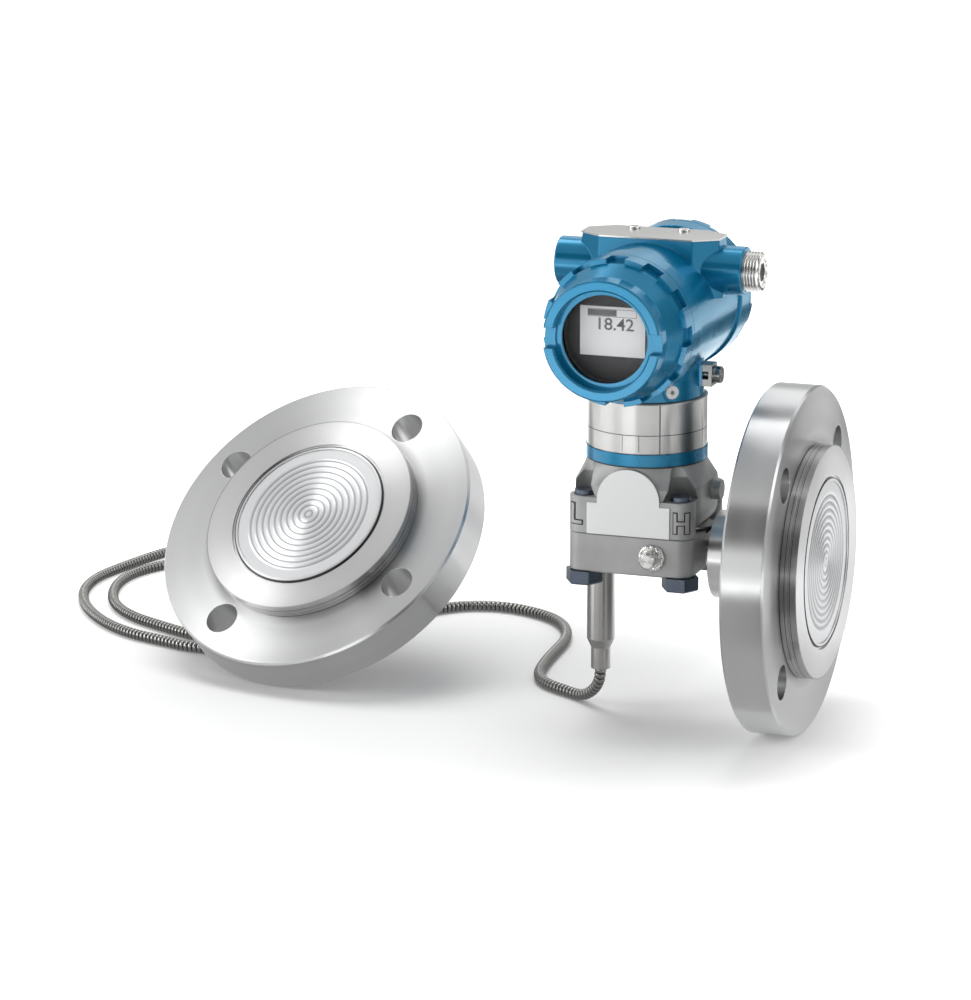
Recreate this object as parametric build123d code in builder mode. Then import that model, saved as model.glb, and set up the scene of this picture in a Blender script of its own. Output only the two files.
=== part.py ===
from build123d import *
import os
from math import cos, radians, sin, tan

os.makedirs("parts", exist_ok=True)

# Driving dimensions, in millimetres. The origin is the centre of the direct flange's front
# face, +X points out of that face and +Z is up.

# Process flanges: 3 inch, class 150, loose on their seals.
flange_thickness = 23.9
bolt_circle = 152.4
flange_rim_width = 19.05
bolt_hole_diameter = 19.05
bolt_hole_count = 4
direct_bolt_turn = 45.0
flange_edge_chamfer = 1.2

# Flush diaphragm seals.
raised_face_diameter = 127.0
raised_face_height = 9.0
face_gap = 0.3
running_clearance = 0.06
rim_groove_width = 0.7
rim_groove_depth = 0.5
seal_hub_radius = 29.5
seal_hub_overhang = 1.6
weld_groove_outer_radius = 47.5
weld_groove_width = 1.6
weld_groove_depth = 1.2
diaphragm_radius = 44.0
diaphragm_thickness = 0.9
diaphragm_set_back = 0.5
diaphragm_ledge_width = 3.0
diaphragm_cavity_depth = 1.4
corrugation_count = 9
corrugation_height = 0.6
corrugation_inner_radius = 5.0
corrugation_outer_radius = 38.0
fill_bore_radius = 1.5
fit_clearance = 0.1

# Transmitter axis and process flange.
transmitter_distance = 92.5
plate_width = 70.0
plate_depth = 68.0
plate_corner_radius = 8.0
plate_bottom = -7.5
plate_thickness = 21.7
plate_edge_chamfer = 0.8
port_spacing = 51.6
port_radius = 10.4
port_depth = 3.0
port_passage_radius = 3.0

# Direct connection between the process flange and the right-hand seal.
direct_neck_radius = 24.0
direct_neck_end = 51.0
connection_radius = 7.0
connection_insertion = 8.0

# Sensor body casting.
body_height = 38.2
body_width = 71.0
body_depth = 66.0
body_corner_radius = 20.0
body_top_radius = 32.0
body_shoulder_height = 12.0
body_foot_rounding = 10.0
bolt_column_height = 20.0
pocket_radius = 10.5
pocket_height = 15.0
pocket_draft = 22.0
pad_width = 46.6
pad_shoulder_height = 17.3
pad_dome_radius = 17.6
pad_dome_centre_height = 19.2
pad_proud = 0.6
side_boss_radius = 5.5
side_boss_proud = 4.8
side_boss_height = 19.5
side_boss_offset = 8.0
isolator_radius = 13.0
isolator_thickness = 0.8
port_gasket_width = 2.4
port_gasket_thickness = 1.2

# Flange bolts.
bolt_spacing_x = 54.2
bolt_spacing_y = 52.0
bolt_radius = 5.5
bolt_head_width = 18.0
bolt_head_height = 7.6
bolt_head_chamfer = 0.8
bolt_end_height = 2.6
bolt_clearance = 0.25

# Neck, band and collar.
collar_radius = 33.2
collar_height = 6.7
neck_radius = 32.2
neck_height = 27.7
neck_wall = 2.4
neck_spigot_radius = 22.0
neck_spigot_height = 7.5
spigot_clearance = 0.05
neck_cable_radius = 7.0
band_thickness = 0.6
wrap_clearance = 0.05
band_seam_width = 0.8
band_seam_azimuth = 29.0
band_edge = 0.3

# Electronics housing. Its covers lie on an axis parallel to Y.
skirt_floor = 9.3
front_joint = -47.5
rear_joint = 59.0
barrel_wall = 4.1
rim_step = 1.4
rim_length = 15.0
rim_edge_rounding = 0.8
compartment_radius = 34.5
front_compartment_depth = 42.0
rear_compartment_depth = 55.0
skirt_radius = 30.8
skirt_gap = 0.4
top_wall = 6.5
tag_half_width = 38.5
top_block_depth = 31.0
top_block_draft = 5.0
top_block_corner_rounding = 2.0
tag_front = -6.0
tag_back = 25.0
tag_corner_x = 12.5
tag_corner_y = 8.5
tag_thickness = 0.8
tag_overhang = 0.6
tag_screw_spacing = 28.0
tag_screw_set_back = 6.0
tag_screw_radius = 1.5
tag_screw_depth = 5.0
tag_screw_head_radius = 3.4
tag_screw_head_height = 1.4
tag_screw_head_rounding = 0.9
conduit_rise = 24.0
conduit_depth = 8.5
conduit_boss_radius = 13.2
conduit_reach = 52.4
conduit_thread_length = 16.0
conduit_passage_radius = 8.5
conduit_boss_rounding = 0.8
plug_radius = 10.6
plug_proud = 6.3
plug_insertion = 11.0
plug_socket_width = 9.5
plug_socket_depth = 7.0
plug_socket_chamfer = 0.8

# Covers.
cover_rim_length = 3.2
castellation_count = 12
front_castellation_length = 8.8
rear_castellation_length = 3.3
castellation_depth = 3.2
castellation_width = 10.2
front_cover_length = 37.4
cover_neck_radius = 32.4
cover_neck_length = 12.0
cover_shoulder_radius = 37.2
cover_face_chamfer = 0.8
cover_slot_width = 11.0
cover_slot_depth = 5.0
cover_joint_gap = 0.5
thread_sleeve_length = 10.0
thread_sleeve_wall = 3.6
thread_clearance = 0.05
o_ring_section = 1.8
o_ring_gap = 0.3
o_ring_set_back = 0.6
window_mouth_radius = 26.6
window_sight_radius = 23.6
window_set_back = 8.5
window_lip = 2.0
window_radius = 27.4
window_thickness = 6.0
gasket_thickness = 1.0
retainer_thickness = 3.0
retainer_inner_radius = 24.6
rear_cover_length = 17.5
rear_shoulder_radius = 35.0
rear_shoulder_length = 1.2
rear_cap_radius = 31.0
rear_cap_thickness = 4.0
rear_boss_radius = 20.0
rear_boss_height = 1.5
rear_cap_rounding = 1.2

# Display, electronics and terminals.
display_radius = 28.6
display_face_gap = 3.2
display_thickness = 12.0
lcd_width = 36.0
lcd_height = 26.5
lcd_raise = 1.5
lcd_thickness = 1.2
lcd_proud = 0.4
electronics_radius = 29.6
electronics_length = 20.0
electronics_post_radius = 3.0
electronics_post_spacing = 40.0
terminal_radius = 30.0
terminal_thickness = 14.0
terminal_flat_height = 11.0
terminal_count = 3
terminal_pitch = 13.0
terminal_drop = 8.0
terminal_screw_radius = 4.0
terminal_screw_height = 3.0
sensor_cell_radius = 14.0
sensor_cell_height = 12.0
sensor_board_radius = 27.0
sensor_board_thickness = 1.6

# Small outside fittings.
set_screw_radius = 3.7
set_screw_end_gap = 0.3
set_screw_proud = 0.6
set_screw_socket_width = 4.0
set_screw_socket_depth = 3.0
set_screw_height = 5.6
set_screw_azimuth = 41.5
set_screw_boss_radius = 5.0
set_screw_boss_proud = 1.0
clamp_width = 10.0
clamp_height = 12.0
clamp_thickness = 5.5
clamp_centre_height = 12.0
clamp_slot_width = 4.0
clamp_slot_depth = 3.5
ground_pad_proud = 1.2
ground_screw_radius = 2.5
ground_thread_depth = 6.0
ground_washer_radius = 4.9
ground_washer_height = 1.2
ground_head_radius = 4.6
ground_head_height = 3.2
ground_head_rounding = 0.6
ground_slot_width = 1.2
ground_slot_depth = 1.4
fill_plug_radius = 4.4
fill_plug_length = 10.0
fill_plug_offset = 13.5
fill_weld_radius = 7.0
fill_weld_height = 2.0

# Capillary support tubes and armour.
support_radius = 7.6
support_shoulder_top = -53.5
support_shoulder_length = 5.0
support_nose_radius = 5.3
support_end = -70.4
support_insertion = 6.0
armour_radius = 3.2
armour_floor_gap = 0.05

# The remote seal leans back on the rim of its flange.
remote_centre_x = -300.7
remote_centre_y = 37.1
remote_azimuth = -14.35
remote_elevation = 45.65
remote_bolt_turn = 67.4
remote_neck_radius = 20.0
remote_neck_length = 23.0
remote_tube_set_back = 16.0
remote_tube_length = 14.0
remote_tube_turn = 20.0
remote_tube_insertion = 4.0
armour_lead = 12.0
arc_share = 0.49

# Places that follow from the sizes above.
axis_x = -transmitter_distance
flange_diameter = bolt_circle + 2 * flange_rim_width
floor_height = -flange_diameter / 2
plate_top = plate_bottom + plate_thickness
body_top = plate_top + body_height
collar_top = body_top + collar_height
neck_top = collar_top + neck_height
housing_bottom = neck_top + skirt_gap
housing_axis_height = housing_bottom + skirt_floor + compartment_radius
barrel_radius = compartment_radius + barrel_wall
rim_radius = barrel_radius + rim_step
tag_height = housing_axis_height + compartment_radius + top_wall
conduit_height = housing_axis_height + conduit_rise
flange_bore_radius = seal_hub_radius + running_clearance
face_front = face_gap + raised_face_height

lean = radians(remote_elevation)
turn = radians(remote_azimuth)
remote_normal = Vector(sin(turn) * cos(lean), -cos(turn) * cos(lean), sin(lean))
remote_left = Vector(-cos(turn), -sin(turn), 0)
remote_height = floor_height + flange_diameter / 2 * cos(lean) + flange_thickness * sin(lean)
remote_centre = Vector(remote_centre_x, remote_centre_y, remote_height)

direct_plane = Plane(origin=(0, 0, 0), x_dir=(0, 1, 0), z_dir=(1, 0, 0))
remote_plane = Plane(origin=remote_centre, x_dir=remote_left, z_dir=remote_normal)


def section_plane(plane):
    """A plane through the axis of another: x is the radius and y runs along its normal."""
    return Plane(origin=plane.origin, x_dir=plane.x_dir, z_dir=-plane.y_dir)


def save(part, name):
    """Labels a finished piece and writes it to its own file."""
    part.label = name
    export_step(part, f"parts/{name}.step")


# Each seal's tube enters its hub: straight in from behind, or from the side.
direct_entry = Plane(origin=(-direct_neck_end + connection_insertion, 0, 0), x_dir=(0, 1, 0),
                     z_dir=(-1, 0, 0))
remote_hub = remote_plane.offset(-flange_thickness - remote_tube_set_back)
tube_turn = radians(remote_tube_turn)
tube_direction = remote_hub.x_dir * cos(tube_turn) + remote_hub.y_dir * sin(tube_turn)
remote_entry = Plane(
    origin=remote_hub.origin + tube_direction * (remote_neck_radius - remote_tube_insertion),
    x_dir=remote_hub.z_dir, z_dir=tube_direction,
)

# Loose flanges and their diaphragm seals, direct and remote.
seals = (
    ("direct", direct_plane, direct_bolt_turn, direct_neck_radius, direct_neck_end,
     direct_entry, connection_radius, direct_neck_end),
    ("remote", remote_plane, remote_bolt_turn, remote_neck_radius,
     flange_thickness + remote_neck_length, remote_entry, support_nose_radius,
     flange_thickness + remote_tube_set_back),
)
for (seal_name, seal_plane, bolt_turn, seal_neck_radius, seal_neck_end, entry_plane,
     entry_radius, bore_depth) in seals:
    seal_axis = Axis(seal_plane.origin, seal_plane.z_dir)

    with BuildPart() as flange:
        with BuildSketch(seal_plane.offset(-flange_thickness)):
            Circle(flange_diameter / 2)
            Circle(flange_bore_radius, mode=Mode.SUBTRACT)
            with PolarLocations(bolt_circle / 2, bolt_hole_count, start_angle=bolt_turn):
                Circle(bolt_hole_diameter / 2, mode=Mode.SUBTRACT)
        extrude(amount=flange_thickness)
        rims = flange.edges().filter_by(GeomType.CIRCLE)
        rims = rims.filter_by(lambda edge: edge.radius > bolt_circle / 2)
        chamfer(rims, flange_edge_chamfer)
    save(flange.part, f"{seal_name}_flange")

    ledge = face_front - diaphragm_set_back - diaphragm_thickness
    rim_middle = face_gap + raised_face_height / 2
    weld_groove_inner_radius = weld_groove_outer_radius - weld_groove_width
    with BuildPart() as seal_body:
        with BuildSketch(section_plane(seal_plane)):
            with BuildLine():
                Polyline(
                    (0, -seal_neck_end),
                    (seal_neck_radius, -seal_neck_end),
                    (seal_neck_radius, -flange_thickness - seal_hub_overhang),
                    (seal_hub_radius, -flange_thickness - seal_hub_overhang),
                    (seal_hub_radius, face_gap),
                    (raised_face_diameter / 2, face_gap),
                    (raised_face_diameter / 2, face_front),
                    (diaphragm_radius + fit_clearance, face_front),
                    (diaphragm_radius + fit_clearance, ledge),
                    (diaphragm_radius - diaphragm_ledge_width, ledge),
                    (diaphragm_radius - diaphragm_ledge_width, ledge - diaphragm_cavity_depth),
                    (0, ledge - diaphragm_cavity_depth),
                    close=True,
                )
            make_face()
            with Locations((raised_face_diameter / 2, rim_middle)):
                Rectangle(2 * rim_groove_depth, rim_groove_width, mode=Mode.SUBTRACT)
            with Locations((weld_groove_inner_radius, face_front - weld_groove_depth)):
                Rectangle(weld_groove_width, 2 * weld_groove_depth,
                          align=(Align.MIN, Align.MIN), mode=Mode.SUBTRACT)
        revolve(axis=seal_axis)
        with BuildSketch(seal_plane.offset(-bore_depth)):
            Circle(fill_bore_radius)
        extrude(amount=bore_depth + ledge, mode=Mode.SUBTRACT)
        with BuildSketch(entry_plane):
            Circle(entry_radius + fit_clearance)
        extrude(amount=seal_neck_radius, mode=Mode.SUBTRACT)
        with BuildSketch(entry_plane):
            Circle(fill_bore_radius)
        extrude(amount=-seal_neck_radius + remote_tube_insertion, mode=Mode.SUBTRACT)
    save(seal_body.part, f"{seal_name}_seal_body")

    half_pitch = (corrugation_outer_radius - corrugation_inner_radius) / (2 * corrugation_count)
    crest = ledge + diaphragm_thickness
    waves = [
        (corrugation_inner_radius + half_pitch * i, crest - corrugation_height * (i % 2))
        for i in range(2 * corrugation_count + 1)
    ]
    with BuildPart() as diaphragm:
        with BuildSketch(section_plane(seal_plane)):
            with BuildLine():
                Polyline((0, ledge), (0, crest), *waves, (diaphragm_radius, crest),
                         (diaphragm_radius, ledge), close=True)
            make_face()
        revolve(axis=seal_axis)
    save(diaphragm.part, f"{seal_name}_diaphragm")

# Tube that joins the direct seal to the process flange.
plate_side = axis_x + plate_width / 2
with BuildPart() as connection_tube:
    with BuildSketch(Plane.YZ.offset(plate_side - connection_insertion)):
        Circle(connection_radius)
        Circle(port_passage_radius, mode=Mode.SUBTRACT)
    extrude(amount=-direct_neck_end - plate_side + 2 * connection_insertion)
save(connection_tube.part, "connection_tube")

# Process flange under the sensor body.
with BuildPart() as process_flange:
    with BuildSketch(Plane.XY.offset(plate_bottom)):
        with Locations((axis_x, 0)):
            RectangleRounded(plate_width, plate_depth, plate_corner_radius)
    extrude(amount=plate_thickness)
    plate_rims = process_flange.edges().group_by(Axis.Z)
    chamfer(plate_rims[0] + plate_rims[-1], plate_edge_chamfer)
    with BuildSketch(Plane.XY.offset(plate_bottom)):
        with Locations((axis_x, 0)):
            with GridLocations(bolt_spacing_x, bolt_spacing_y, 2, 2):
                Circle(bolt_radius + bolt_clearance)
    extrude(amount=plate_thickness, mode=Mode.SUBTRACT)
    with BuildSketch(Plane.XY.offset(plate_top)):
        with Locations((axis_x, 0)):
            with GridLocations(port_spacing, 0, 2, 1):
                Circle(port_radius)
    extrude(amount=-port_depth, mode=Mode.SUBTRACT)
    with BuildSketch(Plane.XY.offset(plate_bottom)):
        with Locations((axis_x - port_spacing / 2, 0)):
            Circle(support_radius + fit_clearance)
    extrude(amount=support_insertion, mode=Mode.SUBTRACT)
    with BuildSketch(Plane.XY.offset(plate_bottom)):
        with Locations((axis_x - port_spacing / 2, 0)):
            Circle(port_passage_radius)
    extrude(amount=plate_thickness, mode=Mode.SUBTRACT)
    with BuildSketch(Plane.YZ.offset(plate_side)):
        Circle(connection_radius + fit_clearance)
    extrude(amount=-connection_insertion, mode=Mode.SUBTRACT)
    with BuildSketch(Plane.YZ.offset(plate_side)):
        Circle(port_passage_radius)
    extrude(amount=-(plate_width - port_spacing) / 2, mode=Mode.SUBTRACT)
    with BuildSketch(Plane.XY):
        with Locations((axis_x + port_spacing / 2, 0)):
            Circle(port_passage_radius)
    extrude(amount=plate_top, mode=Mode.SUBTRACT)
save(process_flange.part, "process_flange")

# Cast sensor body: a rounded block that closes in to the round neck, with a bolt column at
# each corner, a tapered pocket over each column and a machined pad on its front.
column_radius = plate_corner_radius
column_top = plate_top + bolt_column_height
pad_face = -plate_depth / 2 - pad_proud
isolator_recess = isolator_thickness + port_gasket_thickness
with BuildPart() as sensor_body:
    with BuildSketch(Plane.XY.offset(plate_top)):
        with Locations((axis_x, 0)):
            RectangleRounded(body_width, body_depth, body_corner_radius)
    extrude(amount=body_height - body_shoulder_height)
    fillet(sensor_body.edges().group_by(Axis.Z)[0], body_foot_rounding)
    with BuildSketch(Plane.XY.offset(body_top - body_shoulder_height)):
        with Locations((axis_x, 0)):
            RectangleRounded(body_width, body_depth, body_corner_radius)
    with BuildSketch(Plane.XY.offset(body_top)):
        with Locations((axis_x, 0)):
            Circle(body_top_radius)
    loft()
    with BuildSketch(Plane.XY.offset(column_top)):
        with Locations((axis_x, 0)):
            with GridLocations(bolt_spacing_x, bolt_spacing_y, 2, 2):
                Circle(pocket_radius)
    extrude(amount=pocket_height, taper=pocket_draft, mode=Mode.SUBTRACT)
    with BuildSketch(Plane.XY.offset(plate_top)):
        with Locations((axis_x, 0)):
            Rectangle(bolt_spacing_x, plate_depth)
            with GridLocations(bolt_spacing_x, bolt_spacing_y, 2, 2):
                Circle(column_radius)
    extrude(amount=bolt_column_height)
    with BuildSketch(Plane.XZ.offset(-pad_face)):
        with Locations((axis_x, plate_top)):
            Rectangle(pad_width, pad_shoulder_height, align=(Align.CENTER, Align.MIN))
            Rectangle(2 * pad_dome_radius, pad_dome_centre_height,
                      align=(Align.CENTER, Align.MIN))
        with Locations((axis_x, plate_top + pad_dome_centre_height)):
            Circle(pad_dome_radius)
    extrude(amount=-body_depth / 4)
    boss_start = axis_x + body_width / 4
    with BuildSketch(Plane.YZ.offset(boss_start)):
        with Locations((side_boss_offset, plate_top + side_boss_height)):
            Circle(side_boss_radius)
    extrude(amount=body_width / 4 + side_boss_proud)
    with BuildSketch(Plane.XY.offset(plate_top)):
        with Locations((axis_x, 0)):
            with GridLocations(bolt_spacing_x, bolt_spacing_y, 2, 2):
                Circle(bolt_radius + bolt_clearance)
    extrude(amount=body_height, mode=Mode.SUBTRACT)
    with BuildSketch(Plane.XY.offset(plate_top)):
        with Locations((axis_x, 0)):
            with GridLocations(port_spacing, 0, 2, 1):
                Circle(isolator_radius + fit_clearance)
    extrude(amount=isolator_recess, mode=Mode.SUBTRACT)
save(sensor_body.part, "sensor_body")

with BuildPart() as isolators:
    with BuildSketch(Plane.XY.offset(plate_top + port_gasket_thickness)):
        with Locations((axis_x, 0)):
            with GridLocations(port_spacing, 0, 2, 1):
                Circle(isolator_radius)
    extrude(amount=isolator_thickness)
save(isolators.part, "isolating_diaphragms")

with BuildPart() as port_gaskets:
    with BuildSketch(Plane.XY.offset(plate_top)):
        with Locations((axis_x, 0)):
            with GridLocations(port_spacing, 0, 2, 1):
                Circle(isolator_radius)
                Circle(isolator_radius - port_gasket_width, mode=Mode.SUBTRACT)
    extrude(amount=port_gasket_thickness)
save(port_gaskets.part, "port_gaskets")

# Four hexagon bolts come up through the process flange into the columns.
with BuildPart() as flange_bolts:
    with BuildSketch(Plane.XY.offset(plate_bottom)):
        with Locations((axis_x, 0)):
            with GridLocations(bolt_spacing_x, bolt_spacing_y, 2, 2):
                RegularPolygon(bolt_head_width / 2, 6, major_radius=False)
    extrude(amount=-bolt_head_height)
    chamfer(flange_bolts.edges().group_by(Axis.Z)[0], bolt_head_chamfer)
    with BuildSketch(Plane.XY.offset(plate_bottom)):
        with Locations((axis_x, 0)):
            with GridLocations(bolt_spacing_x, bolt_spacing_y, 2, 2):
                Circle(bolt_radius)
    extrude(amount=plate_thickness + bolt_column_height + bolt_end_height)
save(flange_bolts.part, "flange_bolts")

# Welded fill plug on the front of the process flange.
fill_plane = Plane(
    origin=(axis_x + fill_plug_offset, -plate_depth / 2, plate_bottom + plate_thickness / 2),
    x_dir=(1, 0, 0), z_dir=(0, -1, 0),
)
with BuildPart() as fill_plug:
    with BuildSketch(fill_plane):
        Circle(fill_weld_radius)
    extrude(amount=fill_weld_height, taper=45)
    with BuildSketch(fill_plane):
        Circle(fill_plug_radius)
    extrude(amount=fill_plug_length)
    chamfer(fill_plug.edges().sort_by(Axis.Y)[0], bolt_head_chamfer)
save(fill_plug.part, "fill_plug")

# Round neck that holds the sensor, with its collar and its wrapped band.
with BuildPart() as sensor_neck:
    with BuildSketch(Plane.XY.offset(body_top)):
        with Locations((axis_x, 0)):
            Circle(neck_radius)
    extrude(amount=neck_top - body_top)
    with BuildSketch(Plane.XY.offset(neck_top)):
        with Locations((axis_x, 0)):
            Circle(neck_spigot_radius)
    extrude(amount=neck_spigot_height)
    with BuildSketch(Plane.XY.offset(body_top)):
        with Locations((axis_x, 0)):
            Circle(neck_radius - neck_wall)
    extrude(amount=neck_top - body_top - neck_wall, mode=Mode.SUBTRACT)
    with BuildSketch(Plane.XY.offset(body_top)):
        with Locations((axis_x, 0)):
            Circle(neck_cable_radius)
    extrude(amount=neck_top - body_top + neck_spigot_height, mode=Mode.SUBTRACT)
save(sensor_neck.part, "sensor_neck")

with BuildPart() as collar_ring:
    with BuildSketch(Plane.XY.offset(body_top)):
        with Locations((axis_x, 0)):
            Circle(collar_radius)
            Circle(neck_radius + wrap_clearance, mode=Mode.SUBTRACT)
    extrude(amount=collar_height)
save(collar_ring.part, "collar_ring")

with BuildPart() as neck_band:
    with BuildSketch(Plane.XY.offset(collar_top + band_edge)):
        with Locations((axis_x, 0)):
            Circle(neck_radius + wrap_clearance + band_thickness)
            Circle(neck_radius + wrap_clearance, mode=Mode.SUBTRACT)
        with Locations(Location((axis_x, 0, 0), (0, 0, band_seam_azimuth))):
            with Locations((0, -neck_radius)):
                Rectangle(band_seam_width, 4 * band_thickness, mode=Mode.SUBTRACT)
    extrude(amount=neck_height - 2 * band_edge)
save(neck_band.part, "neck_band")

with BuildPart() as sensor_cell:
    with BuildSketch(Plane.XY.offset(body_top)):
        with Locations((axis_x, 0)):
            Circle(sensor_cell_radius)
    extrude(amount=sensor_cell_height)
save(sensor_cell.part, "sensor_cell")

with BuildPart() as sensor_board:
    with BuildSketch(Plane.XY.offset(body_top + sensor_cell_height)):
        with Locations((axis_x, 0)):
            Circle(sensor_board_radius)
    extrude(amount=sensor_board_thickness)
save(sensor_board.part, "sensor_board")

# Electronics housing: a barrel with two compartments, a flat top block with a conduit boss
# on each side, and a skirt that turns on the neck.
front_plane = Plane(origin=(axis_x, front_joint, housing_axis_height), x_dir=(1, 0, 0),
                    z_dir=(0, -1, 0))
rear_plane = Plane(origin=(axis_x, rear_joint, housing_axis_height), x_dir=(-1, 0, 0),
                   z_dir=(0, 1, 0))
conduit_base = Plane(origin=(axis_x, conduit_depth, conduit_height), x_dir=(0, 1, 0),
                     z_dir=(1, 0, 0))
conduit_right = conduit_base.offset(conduit_reach)
conduit_left = Plane(origin=(axis_x - conduit_reach, conduit_depth, conduit_height),
                     x_dir=(0, -1, 0), z_dir=(-1, 0, 0))
conduit_passage_depth = conduit_reach - compartment_radius / 2
housing_length = rear_joint - front_joint
set_turn = radians(set_screw_azimuth)
set_screw_plane = Plane(
    origin=(axis_x, 0, housing_bottom + set_screw_height),
    x_dir=(cos(set_turn), sin(set_turn), 0),
    z_dir=(sin(set_turn), -cos(set_turn), 0),
)
clamp_base = Plane(origin=(axis_x, 0, housing_bottom + clamp_centre_height), x_dir=(0, 1, 0),
                   z_dir=(1, 0, 0))
pad_reach = skirt_radius + ground_pad_proud
set_screw_reach = skirt_radius + set_screw_boss_proud
conduit_bore_radius = plug_radius + fit_clearance
sleeve_radius = compartment_radius - thread_clearance
sleeve_inner_radius = sleeve_radius - thread_sleeve_wall
o_ring_inner_radius = sleeve_radius + o_ring_gap
o_ring_seat_radius = o_ring_inner_radius + o_ring_section + o_ring_gap
o_ring_seat_depth = o_ring_set_back + o_ring_section + o_ring_gap


# Eight-sided outline of the housing's flat top.
with BuildSketch() as tag_outline:
    with BuildLine():
        Polyline(
            (axis_x, tag_front),
            (axis_x + tag_half_width - tag_corner_x, tag_front),
            (axis_x + tag_half_width, tag_front + tag_corner_y),
            (axis_x + tag_half_width, tag_back - tag_corner_y),
            (axis_x + tag_half_width - tag_corner_x, tag_back),
            (axis_x, tag_back),
        )
        mirror(about=Plane.YZ.offset(axis_x))
    make_face()

with BuildPart() as top_block:
    with BuildSketch(Plane.XY.offset(tag_height)):
        add(tag_outline.sketch)
    extrude(amount=-top_block_depth, taper=-top_block_draft)
    upright_edges = top_block.edges().filter_by(lambda edge: abs(edge.tangent_at(0.5).Z) > 0.5)
    fillet(upright_edges, top_block_corner_rounding)

with BuildPart() as housing:
    with BuildSketch(front_plane):
        Circle(barrel_radius)
    extrude(amount=-housing_length)
    with BuildSketch(front_plane, rear_plane):
        Circle(rim_radius)
    extrude(amount=-rim_length)
    rim_circles = housing.edges().filter_by(GeomType.CIRCLE)
    rim_circles = rim_circles.filter_by(lambda edge: edge.radius > barrel_radius)
    rim_ends = rim_circles.group_by(Axis.Y)
    fillet(rim_ends[1] + rim_ends[-2], rim_edge_rounding)
    add(top_block.part)
    with BuildSketch(conduit_base.offset(-conduit_reach)):
        Circle(conduit_boss_radius)
    extrude(amount=2 * conduit_reach)
    boss_rims = housing.edges().filter_by(GeomType.CIRCLE).group_by(Axis.X)
    fillet(boss_rims[0] + boss_rims[-1], conduit_boss_rounding)
    with BuildSketch(Plane.XY.offset(housing_bottom)):
        with Locations((axis_x, 0)):
            Circle(skirt_radius)
    extrude(amount=housing_axis_height - housing_bottom)
    with BuildSketch(set_screw_plane.offset(neck_spigot_radius + set_screw_boss_radius)):
        Circle(set_screw_boss_radius)
    extrude(amount=set_screw_reach - neck_spigot_radius - set_screw_boss_radius)
    with BuildSketch(clamp_base.offset(skirt_radius / 2)):
        Rectangle(clamp_width, clamp_height)
    extrude(amount=pad_reach - skirt_radius / 2)
    with BuildSketch(front_plane):
        Circle(compartment_radius)
    extrude(amount=-front_compartment_depth, mode=Mode.SUBTRACT)
    with BuildSketch(rear_plane):
        Circle(compartment_radius)
    extrude(amount=-rear_compartment_depth, mode=Mode.SUBTRACT)
    with BuildSketch(conduit_left, conduit_right):
        Circle(conduit_bore_radius)
    extrude(amount=-conduit_thread_length, mode=Mode.SUBTRACT)
    with BuildSketch(conduit_left, conduit_right):
        Circle(conduit_passage_radius)
    extrude(amount=-conduit_passage_depth, mode=Mode.SUBTRACT)
    with BuildSketch(Plane.XY.offset(housing_bottom)):
        with Locations((axis_x, 0)):
            Circle(neck_spigot_radius + spigot_clearance)
    extrude(amount=neck_spigot_height, mode=Mode.SUBTRACT)
    with BuildSketch(Plane.XY.offset(housing_bottom)):
        with Locations((axis_x, 0)):
            Circle(neck_cable_radius)
    extrude(amount=housing_axis_height - compartment_radius - housing_bottom + neck_cable_radius,
            mode=Mode.SUBTRACT)
    with BuildSketch(set_screw_plane.offset(neck_spigot_radius)):
        Circle(set_screw_radius + fit_clearance)
    extrude(amount=set_screw_reach, mode=Mode.SUBTRACT)
    with BuildSketch(clamp_base.offset(pad_reach)):
        Circle(ground_screw_radius + fit_clearance)
    extrude(amount=-ground_thread_depth - fit_clearance, mode=Mode.SUBTRACT)
    with BuildSketch(front_plane, rear_plane):
        Circle(o_ring_seat_radius)
    extrude(amount=-o_ring_seat_depth, mode=Mode.SUBTRACT)
    with BuildSketch(Plane.XY.offset(tag_height)):
        with Locations((axis_x, tag_back - tag_screw_set_back)):
            with GridLocations(tag_screw_spacing, 0, 2, 1):
                Circle(tag_screw_radius + fit_clearance)
    extrude(amount=-tag_screw_depth - fit_clearance, mode=Mode.SUBTRACT)
save(housing.part, "housing")

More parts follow.
